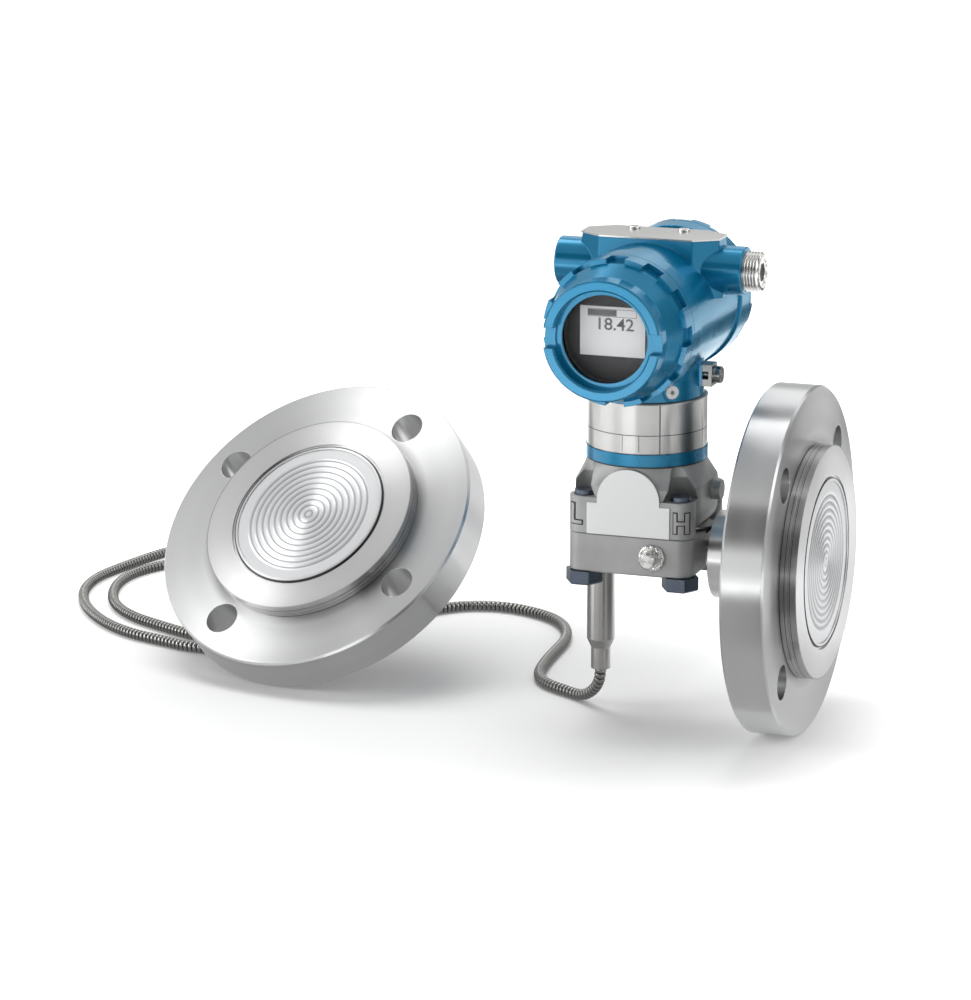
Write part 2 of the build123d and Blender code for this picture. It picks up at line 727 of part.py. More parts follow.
# Screw-on covers. Both have a threaded sleeve, a rim of lugs and recesses and an inner cavity.
front_castellation_end = cover_joint_gap + cover_rim_length + front_castellation_length
rear_castellation_end = cover_joint_gap + cover_rim_length + rear_castellation_length
glass_front = front_cover_length - window_set_back
glass_back = glass_front - window_thickness
retainer_front = glass_back - gasket_thickness
retainer_back = retainer_front - retainer_thickness
pocket_wall_radius = window_radius + fit_clearance
front_neck_start = front_cover_length - cover_neck_length
with BuildPart() as front_cover:
    with BuildSketch(section_plane(front_plane)):
        with BuildLine():
            Polyline(
                (sleeve_inner_radius, -thread_sleeve_length),
                (sleeve_radius, -thread_sleeve_length),
                (sleeve_radius, cover_joint_gap),
                (rim_radius, cover_joint_gap),
                (rim_radius, front_castellation_end),
                (cover_shoulder_radius, front_castellation_end),
                (cover_neck_radius, front_neck_start),
                (cover_neck_radius, front_cover_length),
                (window_mouth_radius, front_cover_length),
                (window_mouth_radius, glass_front + window_lip),
                (window_sight_radius, glass_front + window_lip),
                (window_sight_radius, glass_front),
                (pocket_wall_radius, glass_front),
                (pocket_wall_radius, retainer_back),
                (sleeve_inner_radius, retainer_back),
                close=True,
            )
        make_face()
    revolve(axis=Axis(front_plane.origin, front_plane.z_dir))
    with BuildSketch(front_plane.offset(cover_joint_gap + cover_rim_length)):
        with PolarLocations(rim_radius, castellation_count):
            Rectangle(2 * castellation_depth, castellation_width)
    extrude(amount=front_castellation_length, mode=Mode.SUBTRACT)
    face_rims = front_cover.edges().filter_by(GeomType.CIRCLE).group_by(Axis.Y)[0]
    chamfer(face_rims, cover_face_chamfer)
    with BuildSketch(front_plane.offset(front_cover_length)):
        Rectangle(2 * rim_radius, cover_slot_width)
    extrude(amount=-cover_slot_depth, mode=Mode.SUBTRACT)
save(front_cover.part, "front_cover")

rear_cap_front = rear_cover_length - rear_boss_height
with BuildPart() as rear_cover:
    with BuildSketch(section_plane(rear_plane)):
        with BuildLine():
            Polyline(
                (sleeve_inner_radius, -thread_sleeve_length),
                (sleeve_radius, -thread_sleeve_length),
                (sleeve_radius, cover_joint_gap),
                (rim_radius, cover_joint_gap),
                (rim_radius, rear_castellation_end),
                (rear_shoulder_radius, rear_castellation_end),
                (rear_shoulder_radius, rear_castellation_end + rear_shoulder_length),
                (rear_cap_radius, rear_cap_front),
                (rear_boss_radius, rear_cap_front),
                (rear_boss_radius, rear_cover_length),
                (0, rear_cover_length),
                (0, rear_cap_front - rear_cap_thickness),
                (sleeve_inner_radius, rear_cap_front - rear_cap_thickness),
                close=True,
            )
        make_face()
    revolve(axis=Axis(rear_plane.origin, rear_plane.z_dir))
    rounded = rear_cover.edges().filter_by(GeomType.CIRCLE)
    rounded = rounded.filter_by(
        lambda edge: abs(edge.center().Y - rear_joint - rear_cap_front) < fit_clearance
        and abs(edge.radius - rear_cap_radius) < fit_clearance
    )
    fillet(rounded, rear_cap_rounding)
    with BuildSketch(rear_plane.offset(cover_joint_gap + cover_rim_length)):
        with PolarLocations(rim_radius, castellation_count):
            Rectangle(2 * castellation_depth, castellation_width)
    extrude(amount=rear_castellation_length, mode=Mode.SUBTRACT)
save(rear_cover.part, "rear_cover")

# Sealing rings around the sleeves, in the mouths of the housing.
for ring_name, ring_plane in (("front", front_plane), ("rear", rear_plane)):
    with BuildPart() as o_ring:
        with BuildSketch(section_plane(ring_plane)):
            with Locations((o_ring_inner_radius + o_ring_section / 2,
                            -o_ring_set_back - o_ring_section / 2)):
                Circle(o_ring_section / 2)
        revolve(axis=Axis(ring_plane.origin, ring_plane.z_dir))
    save(o_ring.part, f"{ring_name}_o_ring")

with BuildPart() as window_glass:
    with BuildSketch(front_plane.offset(glass_back)):
        Circle(window_radius)
    extrude(amount=window_thickness)
save(window_glass.part, "window_glass")

with BuildPart() as window_gasket:
    with BuildSketch(front_plane.offset(retainer_front)):
        Circle(window_radius)
        Circle(retainer_inner_radius, mode=Mode.SUBTRACT)
    extrude(amount=gasket_thickness)
save(window_gasket.part, "window_gasket")

with BuildPart() as window_retainer:
    with BuildSketch(front_plane.offset(retainer_back)):
        Circle(window_radius)
        Circle(retainer_inner_radius, mode=Mode.SUBTRACT)
    extrude(amount=retainer_thickness)
save(window_retainer.part, "window_retainer")

# Display, with its panel let into the front, and the electronics that carry it.
display_front = retainer_back - display_face_gap
display_back = display_front - display_thickness
electronics_back = display_back - electronics_length
with BuildPart() as display_module:
    with BuildSketch(front_plane.offset(display_back)):
        Circle(display_radius)
    extrude(amount=display_thickness)
    with BuildSketch(front_plane.offset(display_front)):
        with Locations((0, lcd_raise)):
            Rectangle(lcd_width + 2 * fit_clearance, lcd_height + 2 * fit_clearance)
    extrude(amount=lcd_proud - lcd_thickness, mode=Mode.SUBTRACT)
save(display_module.part, "display_module")

with BuildPart() as lcd_panel:
    with BuildSketch(front_plane.offset(display_front + lcd_proud)):
        with Locations((0, lcd_raise)):
            Rectangle(lcd_width, lcd_height)
    extrude(amount=-lcd_thickness)
save(lcd_panel.part, "lcd_panel")

with BuildPart() as electronics_module:
    with BuildSketch(front_plane.offset(electronics_back)):
        Circle(electronics_radius)
    extrude(amount=electronics_length)
    with BuildSketch(front_plane.offset(electronics_back)):
        with GridLocations(electronics_post_spacing, 0, 2, 1):
            Circle(electronics_post_radius)
    extrude(amount=-front_compartment_depth - electronics_back)
save(electronics_module.part, "electronics_module")

# Terminal block on the rear wall, flat on top to clear the conduit entries.
terminal_plane = rear_plane.offset(-rear_compartment_depth)
with BuildPart() as terminal_block:
    with BuildSketch(terminal_plane):
        Circle(terminal_radius)
        with Locations((0, terminal_flat_height)):
            Rectangle(2 * terminal_radius, terminal_radius,
                      align=(Align.CENTER, Align.MIN), mode=Mode.SUBTRACT)
    extrude(amount=terminal_thickness)
save(terminal_block.part, "terminal_block")

with BuildPart() as terminal_screws:
    with BuildSketch(terminal_plane.offset(terminal_thickness)):
        with Locations((0, -terminal_drop)):
            with GridLocations(terminal_pitch, 0, terminal_count, 1):
                Circle(terminal_screw_radius)
    extrude(amount=terminal_screw_height)
save(terminal_screws.part, "terminal_screws")

# Bare metal plate on the flat top, with its two screws.
with BuildPart() as top_tag:
    with BuildSketch(Plane.XY.offset(tag_height)):
        add(tag_outline.sketch)
        offset(amount=tag_overhang, kind=Kind.INTERSECTION)
        with Locations((axis_x, tag_back - tag_screw_set_back)):
            with GridLocations(tag_screw_spacing, 0, 2, 1):
                Circle(tag_screw_radius + fit_clearance, mode=Mode.SUBTRACT)
    extrude(amount=tag_thickness)
save(top_tag.part, "top_tag")

with BuildPart() as top_tag_screws:
    with BuildSketch(Plane.XY.offset(tag_height - tag_screw_depth)):
        with Locations((axis_x, tag_back - tag_screw_set_back)):
            with GridLocations(tag_screw_spacing, 0, 2, 1):
                Circle(tag_screw_radius)
    extrude(amount=tag_screw_depth + tag_thickness)
    with BuildSketch(Plane.XY.offset(tag_height + tag_thickness)):
        with Locations((axis_x, tag_back - tag_screw_set_back)):
            with GridLocations(tag_screw_spacing, 0, 2, 1):
                Circle(tag_screw_head_radius)
    extrude(amount=tag_screw_head_height)
    fillet(top_tag_screws.edges().group_by(Axis.Z)[-1], tag_screw_head_rounding)
save(top_tag_screws.part, "top_tag_screws")

# Plug in the right-hand conduit entry; the left-hand one is open.
with BuildPart() as conduit_plug:
    with BuildSketch(conduit_base.offset(conduit_reach - plug_insertion)):
        Circle(plug_radius)
    extrude(amount=plug_insertion + plug_proud)
    chamfer(conduit_plug.edges().sort_by(Axis.X)[-1], plug_socket_chamfer)
    with BuildSketch(conduit_base.offset(conduit_reach + plug_proud)):
        RegularPolygon(plug_socket_width / 2, 6, major_radius=False)
    extrude(amount=-plug_socket_depth, mode=Mode.SUBTRACT)
save(conduit_plug.part, "conduit_plug")

# Ground clamp with its slotted screw, and the screw that locks the housing to the neck.
clamp_plane = clamp_base.offset(pad_reach)
clamp_face = clamp_plane.offset(clamp_thickness)
with BuildPart() as ground_clamp:
    with BuildSketch(clamp_plane):
        Rectangle(clamp_width, clamp_height)
        Circle(ground_screw_radius + fit_clearance, mode=Mode.SUBTRACT)
    extrude(amount=clamp_thickness)
    with BuildSketch(clamp_plane):
        Rectangle(clamp_width, clamp_slot_width)
    extrude(amount=clamp_slot_depth, mode=Mode.SUBTRACT)
save(ground_clamp.part, "ground_clamp")

with BuildPart() as ground_screw:
    with BuildSketch(clamp_plane.offset(-ground_thread_depth)):
        Circle(ground_screw_radius)
    extrude(amount=ground_thread_depth + clamp_thickness)
    with BuildSketch(clamp_face):
        Circle(ground_washer_radius)
    extrude(amount=ground_washer_height)
    with BuildSketch(clamp_face.offset(ground_washer_height)):
        Circle(ground_head_radius)
    extrude(amount=ground_head_height)
    fillet(ground_screw.edges().group_by(Axis.X)[-1], ground_head_rounding)
    with BuildSketch(clamp_face.offset(ground_washer_height + ground_head_height)):
        Rectangle(ground_slot_width, 2 * ground_head_radius)
    extrude(amount=-ground_slot_depth, mode=Mode.SUBTRACT)
save(ground_screw.part, "ground_screw")

set_screw_start = neck_spigot_radius + set_screw_end_gap
with BuildPart() as rotation_set_screw:
    with BuildSketch(set_screw_plane.offset(set_screw_start)):
        Circle(set_screw_radius)
    extrude(amount=set_screw_reach + set_screw_proud - set_screw_start)
    with BuildSketch(set_screw_plane.offset(set_screw_reach + set_screw_proud)):
        RegularPolygon(set_screw_socket_width / 2, 6, major_radius=False)
    extrude(amount=-set_screw_socket_depth, mode=Mode.SUBTRACT)
save(rotation_set_screw.part, "rotation_set_screw")

# Support tubes that lead the capillary out of the process flange and out of the remote hub.
support_plane = Plane(origin=(axis_x - port_spacing / 2, 0, 0), x_dir=(1, 0, 0),
                      z_dir=(0, 0, 1))
support_shoulder_end = support_shoulder_top - support_shoulder_length
with BuildPart() as support_tube:
    with BuildSketch(section_plane(support_plane)):
        with BuildLine():
            Polyline(
                (0, plate_bottom + support_insertion),
                (support_radius, plate_bottom + support_insertion),
                (support_radius, support_shoulder_top),
                (support_nose_radius, support_shoulder_end),
                (support_nose_radius, support_end),
                (0, support_end),
                close=True,
            )
        make_face()
    revolve(axis=Axis(support_plane.origin, support_plane.z_dir))
save(support_tube.part, "support_tube")

with BuildPart() as remote_support_tube:
    with BuildSketch(remote_entry):
        Circle(support_nose_radius)
    extrude(amount=remote_tube_insertion + remote_tube_length)
save(remote_support_tube.part, "remote_support_tube")

# Armoured capillary: down from the support tube, along the surface in one S and two loops,
# then up to the remote hub.
armour_level = floor_height + armour_radius + armour_floor_gap
armour_start = Vector(axis_x - port_spacing / 2, 0, support_end)
armour_end = remote_entry.origin + tube_direction * (remote_tube_insertion + remote_tube_length)
falling_points = [
    (-118.3, 0, -75.9), (-121.1, 1.3, -83.3), (-126.2, 3.7, -89.0),
]
surface_points = [
    (-132.9, 6.9), (-144.5, 11.8), (-158, 18.5), (-169, 29), (-175, 43.5), (-177, 66),
    (-176.5, 95), (-178, 122), (-185, 146), (-199, 166), (-221, 178.5), (-240, 182),
    (-259, 176.5), (-273, 163), (-284, 144), (-300, 118), (-317, 87), (-334, 58), (-354, 40),
    (-378, 37), (-400, 45.5), (-424, 54), (-446, 70), (-465, 91), (-480, 114), (-490.5, 140),
    (-494, 168), (-489, 196), (-483, 223), (-474, 249), (-455, 268), (-430, 275), (-405, 268),
    (-384, 251), (-368, 227), (-357, 199), (-349.5, 169), (-344, 139), (-341.5, 116),
    (-341.8, 96.5), (-343.7, 82), (-351.6, 69.7), (-363.9, 61.8), (-378.4, 59.9),
    (-392.4, 64.3), (-414, 75.5), (-436, 88), (-455, 107), (-468, 130), (-476, 156),
    (-477.5, 181), (-470, 203), (-457, 222), (-438, 233), (-416, 232), (-398, 220),
    (-387, 200), (-382, 176), (-383, 158), (-382.2, 138.3),
]
rising_points = [
    (-381.6, 119.9, -90.6), (-379.5, 102.4, -86.9), (-373.9, 86.9, -79.6),
    (-364.7, 75.1, -69.5), (-352.3, 67.4, -58.9),
]
armour_route = [armour_start]
armour_route += [Vector(*point) for point in falling_points]
armour_route += [Vector(x, y, armour_level) for x, y in surface_points]
armour_route += [Vector(*point) for point in rising_points]
armour_route += [armour_end + tube_direction * armour_lead, armour_end]
armour_radii = []
for before, corner, after in zip(armour_route, armour_route[1:], armour_route[2:]):
    shorter_run = min((corner - before).length, (after - corner).length)
    half_turn = radians((corner - before).get_angle(after - corner) / 2)
    armour_radii.append(arc_share * shorter_run / tan(half_turn))
with BuildPart() as capillary_armour:
    with BuildLine() as armour_path:
        FilletPolyline(*armour_route, radius=armour_radii)
    with BuildSketch(Plane(origin=armour_start, z_dir=armour_route[1] - armour_start)):
        Circle(armour_radius)
    sweep()
save(capillary_armour.part, "capillary_armour")
print("armour arc radii:", [round(radius, 1) for radius in armour_radii])
print("armour length:", round(armour_path.wires()[0].length, 1))
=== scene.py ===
# %% [markdown]
# # Level transmitter with two flanged diaphragm seals
#
# The instrument's rigid parts come from its solid model and are already in their places, in
# metres. This notebook adds what the solid model leaves plain: the armour's turns, threads,
# weld beads, the waves of the diaphragms, the display's picture and every finish.

from math import cos, pi, radians, sin, tau

import bmesh
import bpy
import numpy as np
from mathutils import Matrix, Vector


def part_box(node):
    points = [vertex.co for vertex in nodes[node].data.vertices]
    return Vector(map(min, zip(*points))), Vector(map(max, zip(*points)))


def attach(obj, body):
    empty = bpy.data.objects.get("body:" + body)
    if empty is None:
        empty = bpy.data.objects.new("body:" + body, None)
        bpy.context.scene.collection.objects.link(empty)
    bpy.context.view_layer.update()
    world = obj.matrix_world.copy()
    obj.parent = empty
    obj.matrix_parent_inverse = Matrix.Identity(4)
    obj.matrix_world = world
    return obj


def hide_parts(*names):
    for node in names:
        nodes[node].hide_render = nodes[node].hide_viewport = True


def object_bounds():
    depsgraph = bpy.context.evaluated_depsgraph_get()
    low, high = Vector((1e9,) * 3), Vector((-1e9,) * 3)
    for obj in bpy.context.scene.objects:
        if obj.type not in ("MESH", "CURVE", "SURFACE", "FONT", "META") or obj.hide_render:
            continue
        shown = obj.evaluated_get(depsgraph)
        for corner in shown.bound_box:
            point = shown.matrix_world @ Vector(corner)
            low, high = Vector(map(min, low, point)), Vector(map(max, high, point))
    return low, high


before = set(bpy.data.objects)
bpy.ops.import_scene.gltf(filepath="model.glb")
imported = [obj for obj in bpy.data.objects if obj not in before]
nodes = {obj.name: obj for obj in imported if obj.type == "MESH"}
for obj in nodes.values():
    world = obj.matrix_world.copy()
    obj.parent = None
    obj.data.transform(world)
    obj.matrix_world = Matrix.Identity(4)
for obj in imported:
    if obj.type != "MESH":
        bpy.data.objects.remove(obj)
model_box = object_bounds()
box_size = model_box[1] - model_box[0]
print(len(nodes), "rigid pieces, box in mm:", [round(v * 1000) for v in box_size])

# %% [markdown]
# ## Camera
#
# The camera was fitted to the circles of the two flanges, so its distance and lens are exact
# numbers. A long lens from 2.5 m gives the flat perspective of a catalogue picture.

# %% Camera
camera_azimuth = radians(18.978)
camera_elevation = radians(13.631)
bpy.ops.object.camera_add(
    location=(0.62801, -2.36528, 0.62572),
    rotation=(pi / 2 - camera_elevation, 0, camera_azimuth),
)
camera = bpy.context.object
camera.data.lens = 167.95
camera.data.sensor_width = 36
camera.data.clip_start = 0.1
camera.data.clip_end = 60
bpy.context.scene.camera = camera
bpy.context.scene.view_settings.view_transform = "Standard"

# %% [markdown]
# ## Places that the pieces share
#
# The direct flange's axis is X through the origin. The remote flange leans back on its rim,
# so its axis is a tilted direction. The transmitter column stands on its own vertical axis.

# %% Axes and levels
flange_radius, flange_thickness = 0.09525, 0.0239
floor_level = -flange_radius
column_x = -0.0925
housing_axis_z = 0.131
lean, turn = radians(45.65), radians(-14.35)
remote_axis = Vector((sin(turn) * cos(lean), -cos(turn) * cos(lean), sin(lean)))
remote_height = floor_level + flange_radius * cos(lean) + flange_thickness * sin(lean)
remote_centre = Vector((-0.3007, 0.0371, remote_height))
remote_side = Vector((-cos(turn), -sin(turn), 0))
remote_turn = Matrix((remote_side, remote_axis.cross(remote_side), remote_axis)).transposed()
remote_place = Matrix.Translation(remote_centre) @ remote_turn.to_4x4()
direct_place = Matrix(((0, 0, 1, 0), (1, 0, 0, 0), (0, 1, 0, 0), (0, 0, 0, 1)))
seal_places = (("direct", direct_place), ("remote", remote_place))
print("remote flange centre:", tuple(round(v, 4) for v in remote_centre))

# %% [markdown]
# ## The armoured capillary
#
# A hair-thin tube runs inside a flexible armour of wound steel strip. The armour is stiff
# enough to lie in wide loops. Its route is one smooth spline whose control points were chosen
# over the picture's floor.

# %% Route of the armour
armour_radius = 0.0032
armour_level = -0.092
support_exit = (-0.1183, 0, -0.0704)
armour_route = [
    support_exit, (-0.1183, 0, -0.0759), (-0.1217, 0.0035, -0.0828), (-0.1275, 0.0085, -0.0885),
]
armour_route += [(x, y, armour_level) for x, y in (
    (-0.135, 0.0145), (-0.1455, 0.0212), (-0.157, 0.0285), (-0.166, 0.0385), (-0.1715, 0.052),
    (-0.1745, 0.071), (-0.1765, 0.095), (-0.178, 0.122), (-0.185, 0.146), (-0.199, 0.166),
    (-0.221, 0.1785), (-0.24, 0.182), (-0.259, 0.1765), (-0.273, 0.163), (-0.284, 0.144),
    (-0.3, 0.118), (-0.317, 0.087), (-0.334, 0.058), (-0.354, 0.04), (-0.378, 0.037),
    (-0.4, 0.0455), (-0.424, 0.054), (-0.446, 0.07), (-0.465, 0.091), (-0.48, 0.114),
    (-0.4905, 0.14), (-0.494, 0.168), (-0.489, 0.196), (-0.483, 0.223), (-0.474, 0.249),
    (-0.455, 0.268), (-0.43, 0.275), (-0.405, 0.268), (-0.384, 0.251), (-0.368, 0.227),
    (-0.357, 0.199), (-0.3495, 0.169), (-0.344, 0.139), (-0.3415, 0.116), (-0.3418, 0.0965),
    (-0.3437, 0.082), (-0.3516, 0.0697), (-0.3639, 0.0618), (-0.3784, 0.0599),
    (-0.3924, 0.0643), (-0.414, 0.0755), (-0.436, 0.088), (-0.455, 0.107), (-0.468, 0.13),
    (-0.476, 0.156), (-0.4775, 0.181), (-0.47, 0.203), (-0.457, 0.222), (-0.438, 0.233),
    (-0.416, 0.232), (-0.398, 0.22), (-0.387, 0.2), (-0.382, 0.176), (-0.383, 0.158),
    (-0.3822, 0.1383),
)]
armour_route += [
    (-0.3816, 0.1199, -0.0906), (-0.3795, 0.1024, -0.0869), (-0.3739, 0.0869, -0.0796),
    (-0.3647, 0.0751, -0.0695), (-0.3523, 0.0674, -0.0589),
]
tube_angle = radians(20)
hub_depth, tube_start, tube_end = 0.0399, 0.034, 0.046
hub_point = remote_centre - remote_axis * hub_depth
tube_direction = remote_side * cos(tube_angle) + remote_axis.cross(remote_side) * sin(tube_angle)
armour_route += [hub_point + tube_direction * reach for reach in (tube_end, tube_start)]

# %% Smooth line of the armour
route_curve = bpy.data.curves.new("armour_route", "CURVE")
route_curve.dimensions = "3D"
route_curve.resolution_u = 24
route_spline = route_curve.splines.new("NURBS")
route_spline.points.add(len(armour_route) - 1)
for control, place in zip(route_spline.points, armour_route):
    control.co = (*place, 1)
route_spline.order_u = 3
route_spline.use_endpoint_u = True
route_object = bpy.data.objects.new("armour_route", route_curve)
bpy.context.scene.collection.objects.link(route_object)
bpy.context.view_layer.update()
line_mesh = bpy.data.meshes.new_from_object(
    route_object.evaluated_get(bpy.context.evaluated_depsgraph_get())
)
armour_line = np.array([v.co for v in line_mesh.vertices])
bpy.data.objects.remove(route_object)
steps = np.linalg.norm(np.diff(armour_line, axis=0), axis=1)
travelled = np.concatenate([[0], np.cumsum(steps)])
armour_length = travelled[-1]
print("armour length in mm:", round(armour_length * 1000))

# %% [markdown]
# The strip is wound with about 350 turns to the metre. Each turn shows as a rounded ridge
# with a narrow dark valley. A tube of rings is laid along the smooth line. Every turn gets six
# rings, placed so that one of them always falls in the valley, and their radius gives the
# ridge. The same wave is kept as an attribute, so that the finish can paint shade into the
# valleys.

# %% Wound armour
turn_pitch = 0.00285
turn_count = round(armour_length / turn_pitch)
side_count = 14
ring_share = np.array([0, 0.13, 0.3, 0.5, 0.7, 0.87])
ring_level = np.array([0, 0.75, 0.97, 1, 0.97, 0.75])
distance = (np.arange(turn_count)[:, None] + ring_share[None, :]).ravel()
distance *= armour_length / distance[-1]
ring_count = len(distance)
centres = np.stack([np.interp(distance, travelled, armour_line[:, i]) for i in range(3)], 1)
forward = np.gradient(centres, distance, axis=0)
forward /= np.linalg.norm(forward, axis=1)[:, None]
across = np.zeros_like(forward)
across[0] = (0, 1, 0)
for i in range(1, ring_count):
    carried = across[i - 1] - forward[i] * (across[i - 1] @ forward[i])
    across[i] = carried / np.linalg.norm(carried)
upward = np.cross(forward, across)
angle = np.linspace(0, tau, side_count, endpoint=False)
ridge = np.repeat(np.tile(ring_level, turn_count)[:, None], side_count, axis=1)
ring_radius = armour_radius * (0.76 + 0.24 * ridge)
armour_vertices = (
    centres[:, None, :]
    + ring_radius[:, :, None] * (np.cos(angle)[None, :, None] * across[:, None, :]
                                 + np.sin(angle)[None, :, None] * upward[:, None, :])
).reshape(-1, 3)
armour_faces = [
    (i * side_count + j, i * side_count + (j + 1) % side_count,
     (i + 1) * side_count + (j + 1) % side_count, (i + 1) * side_count + j)
    for i in range(ring_count - 1) for j in range(side_count)
]
armour_faces.append(tuple(reversed(range(side_count))))
armour_faces.append(tuple(range((ring_count - 1) * side_count, ring_count * side_count)))
armour_mesh = bpy.data.meshes.new("wound_armour")
armour_mesh.from_pydata(armour_vertices.tolist(), [], armour_faces)
armour_mesh.polygons.foreach_set("use_smooth", [True] * len(armour_mesh.polygons))
valley = armour_mesh.attributes.new("valley", "FLOAT", "POINT")
valley.data.foreach_set("value", (1 - ridge).astype(np.float32).ravel())
wound_armour = bpy.data.objects.new("wound_armour", armour_mesh)
bpy.context.scene.collection.objects.link(wound_armour)
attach(wound_armour, "transmitter_base")
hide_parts("capillary_armour")
print("armour faces:", len(armour_faces))

# %% [markdown]
# ## Turned detail
#
# The diaphragms, the conduit plug and the lock screw are round, so each is drawn as half an
# outline and spun. The outline grows from one vertex by extruding it from point to point, as
# it would by hand. Spun meshes have a seam where the last step meets the first, so the
# doubles are merged and the normals are made to point outwards.


# %% Spinning an outline
def turned_piece(name, outline, place, steps=96):
    """An outline of (radius, height) points, extruded from a vertex and spun round Z."""
    bpy.ops.object.select_all(action="DESELECT")
    bpy.ops.mesh.primitive_plane_add(size=0.001)
    piece = bpy.context.object
    piece.name = name
    bpy.ops.object.mode_set(mode="EDIT")
    bpy.ops.mesh.merge(type="CENTER")
    bpy.ops.transform.translate(value=(outline[0][0], 0, outline[0][1]))
    for before, after in zip(outline, outline[1:]):
        bpy.ops.mesh.extrude_region_move(TRANSFORM_OT_translate={
            "value": (after[0] - before[0], 0, after[1] - before[1])})
    bpy.ops.mesh.select_all(action="SELECT")
    bpy.ops.mesh.spin(steps=steps, angle=tau, center=(0, 0, 0), axis=(0, 0, 1))
    bpy.ops.mesh.select_all(action="SELECT")
    bpy.ops.mesh.remove_doubles(threshold=0.000002)
    bpy.ops.mesh.normals_make_consistent(inside=False)
    bpy.ops.object.mode_set(mode="OBJECT")
    piece.matrix_world = place
    return piece


def settle(piece, body, node=None, smooth_angle=40):
    bpy.ops.object.select_all(action="DESELECT")
    piece.select_set(True)
    bpy.context.view_layer.objects.active = piece
    bpy.ops.object.transform_apply(location=True, rotation=True, scale=True)
    bpy.ops.object.shade_smooth_by_angle(angle=radians(smooth_angle))
    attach(piece, body)
    if node:
        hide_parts(node)
    print(piece.name, "has", len(piece.data.polygons), "faces")


# %% [markdown]
# A diaphragm is a foil pressed into round waves that let it flex. The waves are a cosine in
# the outline, between a flat middle and a flat border that is welded to the seal.

# %% Diaphragm waves
wave_count, wave_inner, wave_outer = 9, 0.0042, 0.0382
foil_back, foil_front, wave_depth = 0.0079, 0.0088, 0.00035
foil_edge = 0.044
foil = [(0, foil_back), (foil_edge, foil_back), (foil_edge, foil_front),
        (wave_outer + 0.0006, foil_front)]
wave_steps = wave_count * 12
for i in range(wave_steps + 1):
    share = 1 - i / wave_steps
    wave = 0.5 - 0.5 * cos(tau * wave_count * share)
    foil.append((wave_inner + (wave_outer - wave_inner) * share, foil_front - wave_depth * wave))
foil += [(wave_inner - 0.001, foil_front), (0, foil_front)]
for side, place in seal_places:
    settle(turned_piece(f"{side}_diaphragm_waves", foil, place, 120), "transmitter_base",
           f"{side}_diaphragm", 60)

# %% [markdown]
# The plug's thread is a row of rounded ridges outside the boss. Its hexagon socket is cut with
# a six-sided prism by a Boolean modifier.

# %% Threaded plug
plug_mouth = Matrix.Translation((-0.0401, 0.0085, 0.155)) @ Matrix.Rotation(pi / 2, 4, "Y")
plug_end, thread_start, thread_pitch = 0.0093, 0.0002, 0.0016
plug_outline = [(0, -0.011), (0.0106, -0.011), (0.0106, thread_start)]
for ridge_number in range(5):
    start = thread_start + thread_pitch * ridge_number
    plug_outline += [(0.0097, start + 0.0002), (0.0099, start + 0.0005), (0.0107, start + 0.0009),
                     (0.01095, start + 0.0012), (0.0107, start + 0.0015)]
plug_outline += [(0.0100, plug_end - 0.0007), (0.0100, plug_end - 0.0002), (0.0096, plug_end),
                 (0.0076, plug_end), (0.0072, plug_end - 0.0006), (0, plug_end - 0.0006)]
threaded_plug = turned_piece("threaded_plug", plug_outline, plug_mouth)
bpy.ops.mesh.primitive_cylinder_add(vertices=6, radius=0.0055, depth=0.012, location=(0, 0, 0))
socket_cutter = bpy.context.object
socket_cutter.matrix_world = plug_mouth @ Matrix.Translation((0, 0, plug_end))
cut = threaded_plug.modifiers.new("socket", "BOOLEAN")
cut.object = socket_cutter
cut.operation = "DIFFERENCE"
bpy.context.view_layer.objects.active = threaded_plug
bpy.ops.object.modifier_apply(modifier=cut.name)
bpy.data.objects.remove(socket_cutter)
settle(threaded_plug, "electronics_housing", "conduit_plug", 35)

# %% Lock screw with its pale ring
screw_turn = radians(41.5)
screw_out = Vector((sin(screw_turn), -cos(screw_turn), 0))
screw_place = Matrix.Translation(Vector((column_x, 0, 0.0928)) + screw_out * 0.0324)
screw_place = screw_place @ screw_out.to_track_quat("Z", "Y").to_matrix().to_4x4()
settle(turned_piece("lock_screw", [
    (0, -0.0101), (0.0037, -0.0101), (0.0037, -0.0004), (0.0034, -0.0001), (0.0030, 0),
    (0.0015, 0), (0.0012, -0.0003), (0.0012, -0.003), (0, -0.0032),
], screw_place, 48), "electronics_housing", "rotation_set_screw", 35)

# %% [markdown]
# The fill plug is held by a rough weld. A ring is laid round its foot, and a Displace modifier
# with a fine procedural texture raises the drops of the bead.

# %% Weld bead
fill_plug_foot = (-0.079, -0.0348, 0.00335)
bpy.ops.object.select_all(action="DESELECT")
bpy.ops.mesh.primitive_torus_add(
    location=fill_plug_foot, rotation=(pi / 2, 0, 0), major_segments=120,
    minor_segments=16, major_radius=0.0060, minor_radius=0.0014)
weld_bead = bpy.context.object
weld_bead.name = "fill_weld_bead"
drops = bpy.data.textures.new("weld_drops", "CLOUDS")
drops.noise_scale = 0.0016
rough = weld_bead.modifiers.new("drops", "DISPLACE")
rough.texture = drops
rough.strength = 0.0014
rough.mid_level = 0.45
bpy.ops.object.modifier_apply(modifier=rough.name)
settle(weld_bead, "transmitter_base", None, 60)
